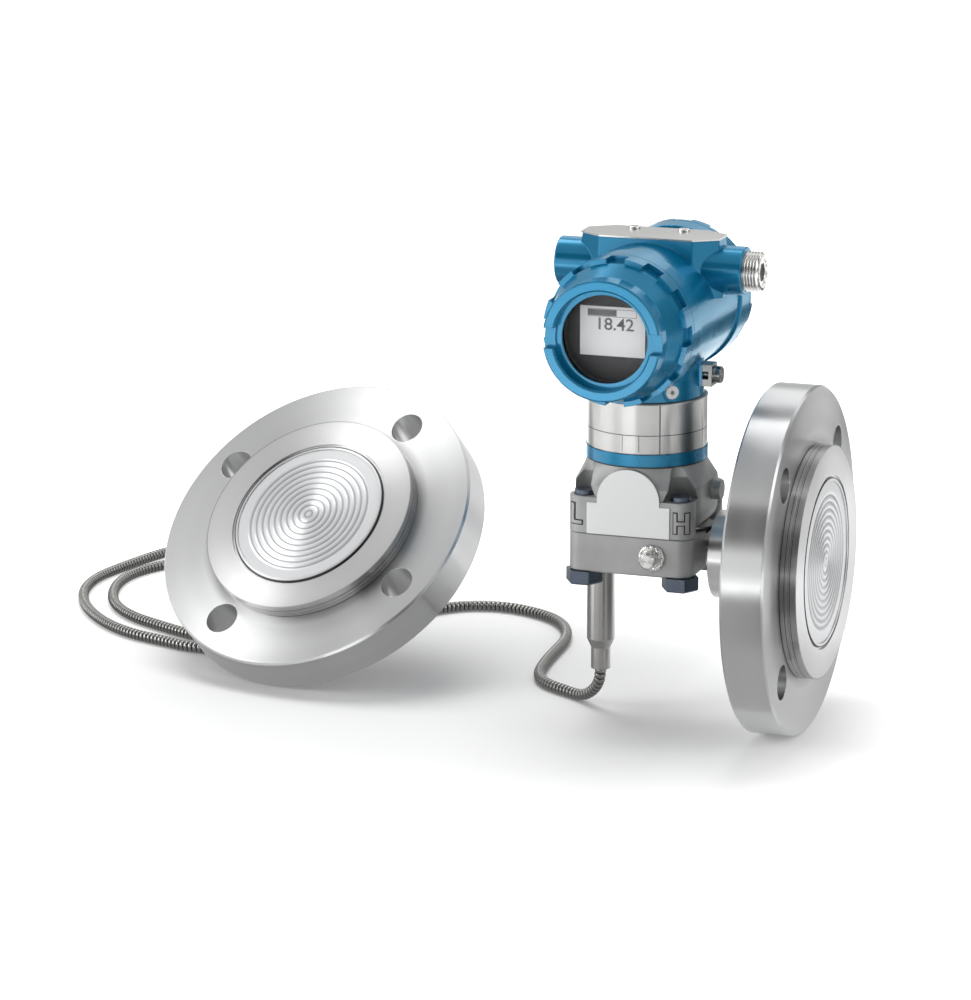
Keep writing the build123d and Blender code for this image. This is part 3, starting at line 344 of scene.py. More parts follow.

# %% [markdown]
# The casting carries a raised H and L, for its high and low pressure sides. Each is cut from
# a fine grid: the faces outside its strokes are deleted, the rest is projected on to the
# column with Shrinkwrap, so that it follows the round corner, and Solidify gives it height.
# Each cast letter stands on a flatter and slightly wider dark one, a painted shadow round the
# letter.


# %% Cast letters
def cast_letter(name, centre_x, centre_z, width, height, proud, in_stroke, margin=0.0):
    """A raised letter on the casting's front, from a test of where its strokes lie."""
    bpy.ops.object.select_all(action="DESELECT")
    bpy.ops.mesh.primitive_grid_add(x_subdivisions=60, y_subdivisions=84, size=1,
                                    rotation=(pi / 2, 0, 0))
    letter = bpy.context.object
    letter.name = name
    letter.scale = (width + 2 * margin, height + 2 * margin, 1)
    letter.location = (centre_x, -0.04, centre_z)
    bpy.ops.object.transform_apply(location=True, rotation=True, scale=True)
    bpy.ops.object.mode_set(mode="EDIT")
    bpy.ops.mesh.select_mode(type="FACE")
    bpy.ops.mesh.select_all(action="DESELECT")
    mesh = bmesh.from_edit_mesh(letter.data)
    for face in mesh.faces:
        middle_of_face = face.calc_center_median()
        across = middle_of_face.x - centre_x + width / 2
        up = middle_of_face.z - centre_z + height / 2
        face.select_set(not in_stroke(across, up, width, height, margin))
    bmesh.update_edit_mesh(letter.data)
    bpy.ops.mesh.delete(type="FACE")
    bpy.ops.object.mode_set(mode="OBJECT")
    wrap = letter.modifiers.new("wrap", "SHRINKWRAP")
    wrap.target = bpy.data.objects["sensor_body"]
    wrap.wrap_method = "PROJECT"
    wrap.use_project_y = True
    wrap.use_positive_direction = True
    wrap.use_negative_direction = True
    thick = letter.modifiers.new("thick", "SOLIDIFY")
    thick.thickness = proud
    thick.offset = 0
    bpy.ops.object.modifier_apply(modifier=wrap.name)
    bpy.ops.object.modifier_apply(modifier=thick.name)
    settle(letter, "transmitter_base", None, 30)


def low_stroke(across, up, width, height, margin):
    """The L: an upright at the left and a bar at the foot."""
    return across < 0.0018 + margin or up < 0.0018 + margin


def high_stroke(across, up, width, height, margin):
    """The H: two uprights and a bar between them."""
    side = min(across, width - across)
    return side < 0.0017 + margin or abs(up - height / 2) < 0.0009 + margin


letter_height = 0.0112
# The second copy of each letter, wider, flatter and near black, is a painted shadow round the
# raised one.
for margin, proud, look in ((0.0, 0.0011, "mark"), (0.00055, 0.0005, "mark_shadow")):
    cast_letter(f"low_{look}", column_x - 0.0292, 0.0246, 0.0062, letter_height, proud,
                low_stroke, margin)
    cast_letter(f"high_{look}", column_x + 0.0294, 0.0233, 0.0076, letter_height, proud,
                high_stroke, margin)

# %% [markdown]
# Two thin black rings show where parts meet: the seal in the joint between the front cover
# and the housing, and the gasket below the blue collar. Each is partly a real seal and partly
# painted shade that fills its joint's gap with black.


# %% Joint rings
def joint_ring(name, centre, axis_turn, radius, section, body):
    """A thin black ring, with a round section, in a joint, where it also paints the joint's
    shade.
    """
    bpy.ops.object.select_all(action="DESELECT")
    bpy.ops.mesh.primitive_torus_add(location=centre, rotation=axis_turn, major_radius=radius,
                                     minor_radius=section, major_segments=160, minor_segments=10)
    ring = bpy.context.object
    ring.name = name
    settle(ring, body, None, 60)


collar_low, collar_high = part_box("collar_ring")
joint_ring("collar_shade_gasket", (column_x, 0, collar_low[2] - 0.0001), (0, 0, 0),
           (collar_high[0] - collar_low[0]) / 2 - 0.0006, 0.0006, "transmitter_base")
cover_low, cover_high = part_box("front_cover")
joint_ring("front_joint_shade_seal", (column_x, -0.04775, housing_axis_z), (pi / 2, 0, 0),
           (cover_high[0] - cover_low[0]) / 2 - 0.0004, 0.00024, "electronics_housing")

# %% [markdown]
# The display shows a reading and a bar that fills with the level. The digits are a text object
# turned into a mesh and scaled to the height of the real ones. The bar is a frame, inset from
# a plane, with a filled block at its left.

# %% Display marks
marks_y = -0.06365
bar_x, bar_z = -0.0928, 0.1424
bpy.ops.object.select_all(action="DESELECT")
bpy.ops.object.text_add(location=(0, 0, 0), rotation=(pi / 2, 0, 0))
digits = bpy.context.object
digits.data.body = "18.42"
digits.data.size = 0.01
digits.data.offset = 0.00012
digits.data.extrude = 0.00005
bpy.context.view_layer.update()
digits.scale = (0.0195 / digits.dimensions.x, 0.0066 / digits.dimensions.y, 1)
digits.location = (-0.1021, marks_y, 0.1334)
bpy.ops.object.convert(target="MESH")
bpy.ops.object.transform_apply(location=True, rotation=True, scale=True)
bpy.ops.mesh.primitive_plane_add(size=1, rotation=(pi / 2, 0, 0))
bar = bpy.context.object
bar.scale = (0.027, 0.0042, 1)
bar.location = (bar_x, marks_y, bar_z)
bpy.ops.object.transform_apply(location=True, rotation=True, scale=True)
bpy.ops.object.mode_set(mode="EDIT")
bpy.ops.mesh.inset(thickness=0.00025, depth=0)
bpy.ops.mesh.delete(type="FACE")
bpy.ops.object.mode_set(mode="OBJECT")
bpy.ops.mesh.primitive_plane_add(size=1, rotation=(pi / 2, 0, 0))
level_block = bpy.context.object
level_block.scale = (0.0158, 0.0033, 1)
level_block.location = (bar_x - 0.0054, marks_y, bar_z)
bpy.ops.object.transform_apply(location=True, rotation=True, scale=True)
for flat in (bar, level_block):
    bpy.ops.object.select_all(action="DESELECT")
    flat.select_set(True)
    bpy.context.view_layer.objects.active = flat
    thick = flat.modifiers.new("thick", "SOLIDIFY")
    thick.thickness = 0.0001
    bpy.ops.object.modifier_apply(modifier=thick.name)
bpy.ops.object.select_all(action="DESELECT")
for flat in (digits, bar, level_block):
    flat.select_set(True)
bpy.context.view_layer.objects.active = digits
bpy.ops.object.join()
digits.name = "display_marks"
settle(digits, "electronics_housing")

# %% [markdown]
# ## Floor, light and surroundings
#
# A pale floor keeps the shadows near the object. Its glow is low there, a painted soft shade
# round the object, and rises into the white background farther out. Large soft lamps stand
# above and to the sides. Polished metal shows its surroundings more than its own colour, so
# cards stand where the flanges, seals and covers mirror them: bright ones give the light bands
# and highlights, grey and dark ones the bands between. Only reflections see the cards, and
# reflections see no lamp.

# %% Floor
bpy.ops.mesh.primitive_plane_add(size=14, location=(0, 2, floor_level))
floor = bpy.context.object
floor.name = "studio_floor"
floor_finish = bpy.data.materials.new("pale_floor")
floor_finish.use_nodes = True
floor_shader = floor_finish.node_tree.nodes["Principled BSDF"]
floor_shader.inputs["Base Color"].default_value = (0.86, 0.86, 0.86, 1)
floor_shader.inputs["Roughness"].default_value = 0.6
floor_shader.inputs["Emission Color"].default_value = (1, 1, 1, 1)
floor_nodes, floor_links = floor_finish.node_tree.nodes, floor_finish.node_tree.links
floor_here = floor_nodes.new("ShaderNodeTexCoord")
floor_centre = floor_nodes.new("ShaderNodeMapping")
floor_centre.inputs["Location"].default_value = (0.52, 5.6, 0)
floor_centre.inputs["Scale"].default_value = (2.3, 2.8, 1)
floor_links.new(floor_here.outputs["Object"], floor_centre.inputs["Vector"])
floor_reach = floor_nodes.new("ShaderNodeVectorMath")
floor_reach.operation = "LENGTH"
floor_links.new(floor_centre.outputs[0], floor_reach.inputs[0])
# Painted shade: the glow is low near the object and full farther out.
floor_glow = floor_nodes.new("ShaderNodeMapRange")
floor_glow.interpolation_type = "SMOOTHSTEP"
floor_glow.inputs["From Min"].default_value = 0.25
floor_glow.inputs["From Max"].default_value = 1.0
floor_glow.inputs["To Min"].default_value = 0.0
floor_glow.inputs["To Max"].default_value = 0.6
floor_links.new(floor_reach.outputs["Value"], floor_glow.inputs["Value"])
floor_path = floor_nodes.new("ShaderNodeLightPath")
floor_seen = floor_nodes.new("ShaderNodeMath")
floor_seen.operation = "MAXIMUM"
floor_links.new(floor_path.outputs["Is Camera Ray"], floor_seen.inputs[0])
floor_links.new(floor_path.outputs["Is Glossy Ray"], floor_seen.inputs[1])
floor_strength = floor_nodes.new("ShaderNodeMath")
floor_strength.operation = "MULTIPLY"
floor_links.new(floor_seen.outputs[0], floor_strength.inputs[0])
floor_links.new(floor_glow.outputs[0], floor_strength.inputs[1])
floor_links.new(floor_strength.outputs[0], floor_shader.inputs["Emission Strength"])
floor.data.materials.append(floor_finish)

# %% Background
studio = bpy.data.worlds.new("studio")
bpy.context.scene.world = studio
studio.use_nodes = True
studio_nodes, studio_links = studio.node_tree.nodes, studio.node_tree.links
background = studio_nodes["Background"]
background.inputs["Color"].default_value = (1, 1, 1, 1)
seen_path = studio_nodes.new("ShaderNodeLightPath")
seen = studio_nodes.new("ShaderNodeMath")
seen.operation = "ADD"
studio_links.new(seen_path.outputs["Is Camera Ray"], seen.inputs[0])
studio_links.new(seen_path.outputs["Is Transmission Ray"], seen.inputs[1])
mirrored = studio_nodes.new("ShaderNodeMath")
mirrored.operation = "MULTIPLY_ADD"
mirrored.inputs[1].default_value = 0.45
studio_links.new(seen_path.outputs["Is Glossy Ray"], mirrored.inputs[0])
studio_links.new(seen.outputs[0], mirrored.inputs[2])
level = studio_nodes.new("ShaderNodeMath")
level.operation = "MAXIMUM"
level.inputs[1].default_value = 0.55
studio_links.new(mirrored.outputs[0], level.inputs[0])
studio_links.new(level.outputs[0], background.inputs["Strength"])


# %% Lamps and cards
def soft_lamp(name, place, aim, size, power):
    """A square area lamp that looks at a point."""
    bpy.ops.object.light_add(type="AREA", location=place)
    lamp = bpy.context.object
    lamp.name = name
    lamp.data.size = size
    lamp.data.energy = power
    lamp.visible_glossy = False
    lamp.rotation_euler = (Vector(aim) - Vector(place)).to_track_quat("-Z", "Y").to_euler()


def card(name, place, aim, size, shade):
    """A plain glowing card that only reflections see."""
    bpy.ops.mesh.primitive_plane_add(size=1, location=place)
    sheet = bpy.context.object
    sheet.name = name
    sheet.scale = (size[0], size[1], 1)
    sheet.rotation_euler = (Vector(aim) - Vector(place)).to_track_quat("Z", "Y").to_euler()
    sheet.visible_camera = False
    sheet.visible_diffuse = False
    sheet.visible_shadow = False
    sheet.visible_transmission = False
    finish = bpy.data.materials.new(name)
    finish.use_nodes = True
    tree = finish.node_tree
    glow = tree.nodes.new("ShaderNodeEmission")
    glow.inputs["Color"].default_value = (shade, shade, shade, 1)
    tree.links.new(glow.outputs[0], tree.nodes["Material Output"].inputs["Surface"])
    sheet.data.materials.append(finish)


middle = (-0.2, 0, 0.03)
soft_lamp("top_lamp", (-0.45, 0.5, 2.1), middle, 1.3, 26)
soft_lamp("left_lamp", (-2.2, -1.4, 1.1), middle, 1.0, 18)
soft_lamp("right_lamp", (2.2, -0.6, 1.2), middle, 0.9, 12)
above_floor = floor_level + 0.0004
standing_cards = (
    ("bright_card_front_left", (-0.95, -1.75, 0.2), (-0.1, 0, 0.05), (1.3, 0.75), 1.4),
    ("dark_card_front_right", (0.5, -1.85, 0.4), (-0.05, 0, 0.05), (1.4, 0.7), 0.06),
    ("dark_card_high_front", (-0.35, -1.3, 0.85), (-0.1, 0, 0), (2.6, 0.7), 0.05),
    ("grey_card_overhead", (-0.25, -0.5, 1.7), (-0.25, -0.5, 0), (1.3, 1.9), 0.52),
    ("bright_card_back", (0, 1.75, 1.32), middle, (2.6, 1.15), 1.25),
    ("grey_card_back_right", (0.4, 1.84, 0.6), (-0.09, 0, 0.13), (0.6, 0.6), 0.3),
    ("dark_card_left", (-1.1, 0.1, 0.1), (-0.1, 0, 0.1), (0.5, 0.4), 0.3),
    ("grey_card_near_back", (0.3, 0.3, 0), (-0.09, 0, 0), (0.26, 0.19), 0.3),
    ("grey_card_right", (1.5, 0.6, 0.5), middle, (0.9, 1.4), 0.14),
    ("bright_card_high_right", (1.1, -0.02, 0.95), middle, (0.4, 1.2), 3.0),
    ("bright_card_top", (-0.02, 0.27, 1.6), (-0.09, 0, 0.15), (0.6, 0.5), 0.55),
    ("bright_card_high_back", (-0.88, 0.46, 1.53), remote_centre, (0.9, 0.7), 3.6),
    ("bright_card_left", (-1.79, -1.05, 0.86), remote_centre, (1.3, 1.1), 4.4),
    ("grey_card_left_high", (-2.13, 0.15, 1.22), remote_centre, (0.9, 1.0), 1.05),
    ("dark_card_near_right", (0.016, -0.148, -0.045), (-0.118, 0, -0.045), (0.07, 0.09), 0.08),
    ("bright_card_near_left", (-0.249, -0.091, -0.045), (-0.118, 0, -0.045), (0.08, 0.09), 1.3),
)
lying_cards = (
    ("grey_card_floor_front", -0.15, -0.31, (1.0, 0.5), 0.5),
    ("bright_card_floor_back", 0.22, 0.39, (0.6, 0.42), 1.25),
    ("grey_card_floor_near", 0.12, 0.09, (0.3, 0.17), 0.65),
    ("dark_card_floor_back", 0.28, 0.78, (0.6, 0.34), 0.03),
    ("grey_card_under_remote", -0.29, 0.06, (0.4, 0.36), 0.34),
    ("bright_card_low_front", -0.42, -1.0, (0.5, 0.45), 3.5),
)
for name, place, aim, size, shade in standing_cards:
    card(name, place, aim, size, shade)
for name, x, y, size, shade in lying_cards:
    card(name, (x, y, above_floor), (x, y, 1), size, shade)

# %% [markdown]
# ## Effects that several finishes share
#
# Three node groups do most of the work. One gives fine grain, as on a cast or painted skin.
# One gives the rings that a lathe leaves, and also the distance from the axis and along it.
# One gives straight hairlines from brushing. Each puts out a height for a bump and a mask for
# colour and roughness.


# %% Node helpers
def new_group(name, inputs, outputs):
    """A shader node group with named number and vector sockets."""
    group = bpy.data.node_groups.new(name, "ShaderNodeTree")
    for title, kind, value in inputs:
        socket = group.interface.new_socket(title, in_out="INPUT", socket_type=kind)
        if value is not None:
            socket.default_value = value
    for title, kind in outputs:
        group.interface.new_socket(title, in_out="OUTPUT", socket_type=kind)
    return group, group.nodes.new("NodeGroupInput"), group.nodes.new("NodeGroupOutput")


def math(tree, operation, *values):
    """A math node whose inputs are numbers or other nodes' outputs."""
    node = tree.nodes.new("ShaderNodeMath")
    node.operation = operation
    for slot, value in enumerate(values):
        if isinstance(value, (int, float)):
            node.inputs[slot].default_value = value
        else:
            tree.links.new(value, node.inputs[slot])
    return node.outputs[0]


def noise(tree, vector, scale, detail=2.0):
    """A noise texture's factor at a place, with a scale that may be an output."""
    node = tree.nodes.new("ShaderNodeTexNoise")
    node.inputs["Detail"].default_value = detail
    tree.links.new(vector, node.inputs["Vector"])
    if isinstance(scale, (int, float)):
        node.inputs["Scale"].default_value = scale
    else:
        tree.links.new(scale, node.inputs["Scale"])
    return node.outputs["Factor"] if "Factor" in node.outputs else node.outputs["Fac"]


# %% Fine grain
number, place_socket = "NodeSocketFloat", "NodeSocketVector"
fine_grain, entry, leave = new_group(
    "fine_grain",
    [("Place", place_socket, None), ("Grain Scale", number, 1500.0),
     ("Patch Scale", number, 40.0)],
    [("Height", number), ("Patches", number)],
)
grain = noise(fine_grain, entry.outputs["Place"], entry.outputs["Grain Scale"], 3)
patches = noise(fine_grain, entry.outputs["Place"], entry.outputs["Patch Scale"], 2)
fine_grain.links.new(grain, leave.inputs["Height"])
fine_grain.links.new(patches, leave.inputs["Patches"])

# %% Lathe rings
lathe_rings, entry, leave = new_group(
    "lathe_rings",
    [("Place", place_socket, None), ("Ring Scale", number, 1800.0)],
    [("Height", number), ("Rings", number), ("Radius", number), ("Along", number)],
)
split = lathe_rings.nodes.new("ShaderNodeSeparateXYZ")
lathe_rings.links.new(entry.outputs["Place"], split.inputs[0])
radius_out = math(lathe_rings, "SQRT", math(
    lathe_rings, "ADD", math(lathe_rings, "MULTIPLY", split.outputs[0], split.outputs[0]),
    math(lathe_rings, "MULTIPLY", split.outputs[1], split.outputs[1])))
ring_place = lathe_rings.nodes.new("ShaderNodeCombineXYZ")
lathe_rings.links.new(radius_out, ring_place.inputs[0])
lathe_rings.links.new(split.outputs[2], ring_place.inputs[1])
rings = noise(lathe_rings, ring_place.outputs[0], entry.outputs["Ring Scale"], 1)
slow_wave = math(lathe_rings, "MULTIPLY_ADD", split.outputs[2], 450, 1)
slow_wave = math(lathe_rings, "SINE", math(lathe_rings, "ADD", slow_wave, math(
    lathe_rings, "MULTIPLY", radius_out, 380)))
bands = math(lathe_rings, "MULTIPLY_ADD", slow_wave, 0.03, 0.5)
lathe_rings.links.new(rings, leave.inputs["Height"])
lathe_rings.links.new(bands, leave.inputs["Rings"])
lathe_rings.links.new(radius_out, leave.inputs["Radius"])
lathe_rings.links.new(split.outputs[2], leave.inputs["Along"])

# %% Hairlines
hairlines, entry, leave = new_group(
    "hairlines",
    [("Place", place_socket, None), ("Line Scale", number, 1500.0), ("Stretch", number, 0.02)],
    [("Height", number), ("Lines", number)],
)
split = hairlines.nodes.new("ShaderNodeSeparateXYZ")
hairlines.links.new(entry.outputs["Place"], split.inputs[0])
line_place = hairlines.nodes.new("ShaderNodeCombineXYZ")
hairlines.links.new(math(hairlines, "MULTIPLY", split.outputs[0], entry.outputs["Stretch"]),
                    line_place.inputs[0])
hairlines.links.new(math(hairlines, "MULTIPLY", split.outputs[1], entry.outputs["Stretch"]),
                    line_place.inputs[1])
hairlines.links.new(split.outputs[2], line_place.inputs[2])
lines = noise(hairlines, line_place.outputs[0], entry.outputs["Line Scale"], 3)
streaks = noise(hairlines, line_place.outputs[0], 260, 3)
hairlines.links.new(lines, leave.inputs["Height"])
hairlines.links.new(streaks, leave.inputs["Lines"])


# %% Starting a finish
def start_finish(name, colour, roughness, metallic=0.0, **constants):
    """A material with the shader's constants set, and the object's own coordinates."""
    finish = bpy.data.materials.new(name)
    finish.use_nodes = True
    tree = finish.node_tree
    shader = tree.nodes["Principled BSDF"]
    shader.inputs["Base Color"].default_value = (*colour, 1)
    shader.inputs["Roughness"].default_value = roughness
    shader.inputs["Metallic"].default_value = metallic
    for title, value in constants.items():
        shader.inputs[title.replace("_", " ")].default_value = value
    here = tree.nodes.new("ShaderNodeTexCoord").outputs["Object"]
    return finish, tree, shader, here


def place_group(tree, group, here, **values):
    """One of the shared groups, fed with a place and its own numbers."""
    node = tree.nodes.new("ShaderNodeGroup")
    node.node_tree = group
    tree.links.new(here, node.inputs["Place"])
    for title, value in values.items():
        node.inputs[title.replace("_", " ")].default_value = value
    return node


def bump(tree, shader, height, strength, distance, edge_radius=0.0):
    """A bump from a height into the shader's normal, over edges that look rounded."""
    node = tree.nodes.new("ShaderNodeBump")
    node.inputs["Strength"].default_value = strength
    node.inputs["Distance"].default_value = distance
    tree.links.new(height, node.inputs["Height"])
    if edge_radius:
        rounded = tree.nodes.new("ShaderNodeBevel")
        rounded.samples = 4
        rounded.inputs["Radius"].default_value = edge_radius
        tree.links.new(rounded.outputs[0], node.inputs["Normal"])
    tree.links.new(node.outputs[0], shader.inputs["Normal"])


def spread(tree, value, low, high, socket):
    """A value between 0.3 and 0.7 stretched to a range, into a socket."""
    node = tree.nodes.new("ShaderNodeMapRange")
    node.inputs["From Min"].default_value = 0.3
    node.inputs["From Max"].default_value = 0.7
    node.inputs["To Min"].default_value = low
    node.inputs["To Max"].default_value = high
    tree.links.new(value, node.inputs["Value"])
    tree.links.new(node.outputs[0], socket)


first_colour, second_colour, mixed_colour = 6, 7, 2  # the colour sockets of a Mix node


def tint(tree, value, dark, light, socket):
    """A colour between two, by a value between 0.3 and 0.7, into a socket."""
    node = tree.nodes.new("ShaderNodeValToRGB")
    node.color_ramp.elements[0].position = 0.3
    node.color_ramp.elements[1].position = 0.7
    node.color_ramp.elements[0].color = (*dark, 1)
    node.color_ramp.elements[1].color = (*light, 1)
    tree.links.new(value, node.inputs[0])
    tree.links.new(node.outputs[0], socket)
    return node


def paint_mark_and_shade(tree, shader, mask, colour):
    """Mixes the base colour towards another one, as far as a mask says: used for real marks and
    for painted shade.
    """
    node = tree.nodes.new("ShaderNodeMix")
    node.data_type = "RGBA"
    tree.links.new(mask, node.inputs["Factor"])
    tree.links.new(shader.inputs["Base Color"].links[0].from_socket, node.inputs[first_colour])
    node.inputs[second_colour].default_value = (*colour, 1)
    tree.links.new(node.outputs[mixed_colour], shader.inputs["Base Color"])


def line_at(tree, value, place, half_width):
    """A mask that is 1 where a value is near a place."""
    away = math(tree, "ABSOLUTE", math(tree, "SUBTRACT", value, place))
    return math(tree, "LESS_THAN", away, half_width)


def give(finish, *names):
    """Puts a finish on CAD nodes or pieces by name."""
    for name in names:
        piece = bpy.data.objects[name]
        piece.data.materials.clear()
        piece.data.materials.append(finish)


def grained(name, colour, roughness, metallic, grain, patches, relief=None, rough=None,
            colours=None, **constants):
    """A finish with fine grain. Patches may change its roughness and its colour."""
    finish, tree, shader, here = start_finish(name, colour, roughness, metallic, **constants)
    node = place_group(tree, fine_grain, here, Grain_Scale=grain, Patch_Scale=patches)
    if relief:
        bump(tree, shader, node.outputs["Height"], *relief)
    if rough:
        spread(tree, node.outputs["Patches"], *rough, shader.inputs["Roughness"])
    if colours:
        tint(tree, node.outputs["Patches"], *colours, shader.inputs["Base Color"])
    return finish


# %% [markdown]
# ## Turned steel
#
# The flanges and seals are turned on a lathe. Fine grooves run round the axis, so a highlight
# smears across them into bright and dark wedges. The same happens in the shader when its
# tangent runs round the axis, its anisotropy is high and its rotation is a quarter turn. Painted
# shade darkens the flange face at the seal's foot and the troughs of the waves, and a painted
# dark reflection darkens the seal's side wall. Dark lines mark the wall's two scribed lines and
# the weld round each foil.


# %% Turned finish
def turned_finish(name, place, colour, roughness, ring_scale, strength, anisotropy=0.8):
    """Turned steel round an axis, given by the matrix that places the turned piece."""
    finish, tree, shader, here = start_finish(
        name, colour, roughness, 1.0, Anisotropic=anisotropy, Anisotropic_Rotation=0.25)
    back = place.inverted()
    centred = tree.nodes.new("ShaderNodeMapping")
    centred.vector_type = "POINT"
    centred.inputs["Location"].default_value = back.to_translation()
    centred.inputs["Rotation"].default_value = back.to_euler()
    tree.links.new(here, centred.inputs["Vector"])
    turned = place_group(tree, lathe_rings, centred.outputs[0], Ring_Scale=ring_scale)
    bump(tree, shader, turned.outputs["Height"], strength, 0.00005, 0.0005)
    spread(tree, turned.outputs["Rings"], roughness * 0.8, roughness * 1.25,
           shader.inputs["Roughness"])
    tint(tree, turned.outputs["Rings"], [c * 0.93 for c in colour],
         [min(1, c * 1.05) for c in colour], shader.inputs["Base Color"])
    from_centre = tree.nodes.new("ShaderNodeVectorMath")
    from_centre.operation = "SUBTRACT"
    tree.links.new(here, from_centre.inputs[0])
    from_centre.inputs[1].default_value = place.to_translation()
    round_axis = tree.nodes.new("ShaderNodeVectorMath")
    round_axis.operation = "CROSS_PRODUCT"
    round_axis.inputs[0].default_value = place.to_3x3() @ Vector((0, 0, 1))
    tree.links.new(from_centre.outputs[0], round_axis.inputs[1])
    in_world = tree.nodes.new("ShaderNodeVectorTransform")
    in_world.vector_type = "VECTOR"
    in_world.convert_from = "OBJECT"
    in_world.convert_to = "WORLD"
    tree.links.new(round_axis.outputs[0], in_world.inputs[0])
    tree.links.new(in_world.outputs[0], shader.inputs["Tangent"])
    return finish, tree, shader, turned


# %% Flanges
corner_start, corner_end = 0.06444, 0.07
# Both flanges are the same steel: the direct one is painted darker as shade, the remote one
# lighter as light.
for side, place, lit_tone in (("direct", direct_place, 0.66), ("remote", remote_place, 0.76)):
    finish, tree, shader, turned = turned_finish(
        f"{side}_flange_steel", place, (lit_tone, lit_tone * 1.005, lit_tone * 1.01), 0.29, 1300, 0.3, 0.85)
    # Painted shade: the face is darker near the seal's foot and fades out by corner_end.
    corner = math(tree, "SUBTRACT", corner_end, turned.outputs["Radius"])
    corner = math(tree, "DIVIDE", corner, corner_end - corner_start)
    corner = math(tree, "MINIMUM", math(tree, "MAXIMUM", corner, 0), 1)
    paint_mark_and_shade(tree, shader, math(tree, "MULTIPLY", corner, 0.5), (0.2, 0.2, 0.2))
    give(finish, f"{side}_flange")

# %% Seal bodies
for side, place in seal_places:
    finish, tree, shader, turned = turned_finish(
        f"{side}_seal_steel", place, (0.77, 0.77, 0.77), 0.3, 1300, 0.25, 0.8)
    # Painted dark reflection: the seal's side wall is darkened in its base colour.
    wall = math(tree, "GREATER_THAN", turned.outputs["Radius"], 0.0629)
    paint_mark_and_shade(tree, shader, math(tree, "MULTIPLY", wall, 0.5), (0.16, 0.16, 0.155))
    weld_line = line_at(tree, turned.outputs["Radius"], 0.0458, 0.0005)
    paint_mark_and_shade(tree, shader, weld_line, (0.1, 0.1, 0.1))
    for groove in (0.0028, 0.0058):
        scribed = line_at(tree, turned.outputs["Along"], groove, 0.00014)
        paint_mark_and_shade(tree, shader, math(tree, "MULTIPLY", wall, scribed), (0.05, 0.05, 0.05))
    give(finish, f"{side}_seal_body")

# %% Diaphragm foils
for side, place in seal_places:
    finish, tree, shader, turned = turned_finish(
        f"{side}_diaphragm_foil", place, (0.72, 0.73, 0.74), 0.32, 1500, 0.08, 0.25)
    shader.inputs["Metallic"].default_value = 0.85
    # Painted shade darkens the troughs of the waves.
    waves_out = math(tree, "SUBTRACT", turned.outputs["Radius"], wave_inner)
    waves_out = math(tree, "MULTIPLY", waves_out, tau * wave_count / (wave_outer - wave_inner))
    trough = math(tree, "MULTIPLY_ADD", math(tree, "COSINE", waves_out), -0.5, 0.5)
    trough = math(tree, "MULTIPLY", math(tree, "POWER", trough, 3), 0.75)
    inside = math(tree, "LESS_THAN", turned.outputs["Radius"], wave_outer)
    paint_mark_and_shade(tree, shader, math(tree, "MULTIPLY", trough, inside), (0.24, 0.25, 0.26))
    weld_line = line_at(tree, turned.outputs["Radius"], 0.0452, 0.0005)
    paint_mark_and_shade(tree, shader, weld_line, (0.12, 0.12, 0.12))
    give(finish, f"{side}_diaphragm_waves")

# %% [markdown]
# ## Stainless fittings, casting and paint
#
# The tubes and small fittings are plain drawn stainless steel. The sensor body and its
# flange are investment castings, blasted to an even grey with a fine tooth. The housing and
# its covers are aluminium under a satin blue powder coat.

# %% Drawn stainless
give(grained("drawn_stainless", (0.78, 0.775, 0.76), 0.2, 1.0, 2400.0, 60.0, (0.05, 0.00003),
             (0.16, 0.26)),
     "connection_tube", "remote_support_tube", "threaded_plug", "top_tag_screws",
     "fill_weld_bead", "terminal_screws", "isolating_diaphragms", "sensor_cell")
support_place = Matrix.Translation(support_exit)
plug_place = Matrix.Translation(fill_plug_foot) @ Matrix.Rotation(pi / 2, 4, "X")
# The support tube is painted darker than the other stainless, as painted shade for the dark
# surroundings it mirrors.
for name, place, colour in (("support_tube", support_place, (0.48, 0.475, 0.46)),
                            ("fill_plug", plug_place, (0.74, 0.74, 0.72))):
    give(turned_finish(f"{name}_steel", place, colour, 0.24, 2400, 0.1, 0.8)[0], name)

# %% Dull clamp steel
give(grained("clamp_steel", (0.3, 0.3, 0.29), 0.3, 1.0, 1200.0, 300.0, (0.2, 0.00004, 0.0005),
             (0.2, 0.42), ((0.16, 0.16, 0.155), (0.42, 0.42, 0.41))),
     "ground_clamp", "ground_screw")

# %% Cast stainless
cast_colours = (0.36, 0.365, 0.36), (0.46, 0.465, 0.46)
give(grained("cast_stainless", (0.4, 0.4, 0.395), 0.5, 0.6, 1400.0, 50.0, (0.5, 0.00012, 0.0006),
             (0.44, 0.58), cast_colours),
     "process_flange", "sensor_neck", "high_mark", "low_mark")
# Near black: the painted shadow round each cast letter.
give(grained("painted_letter_shadow", (0.05, 0.05, 0.05), 0.6, 0.6, 1400.0, 200.0, (0.4, 0.0001)),
     "high_mark_shadow", "low_mark_shadow")

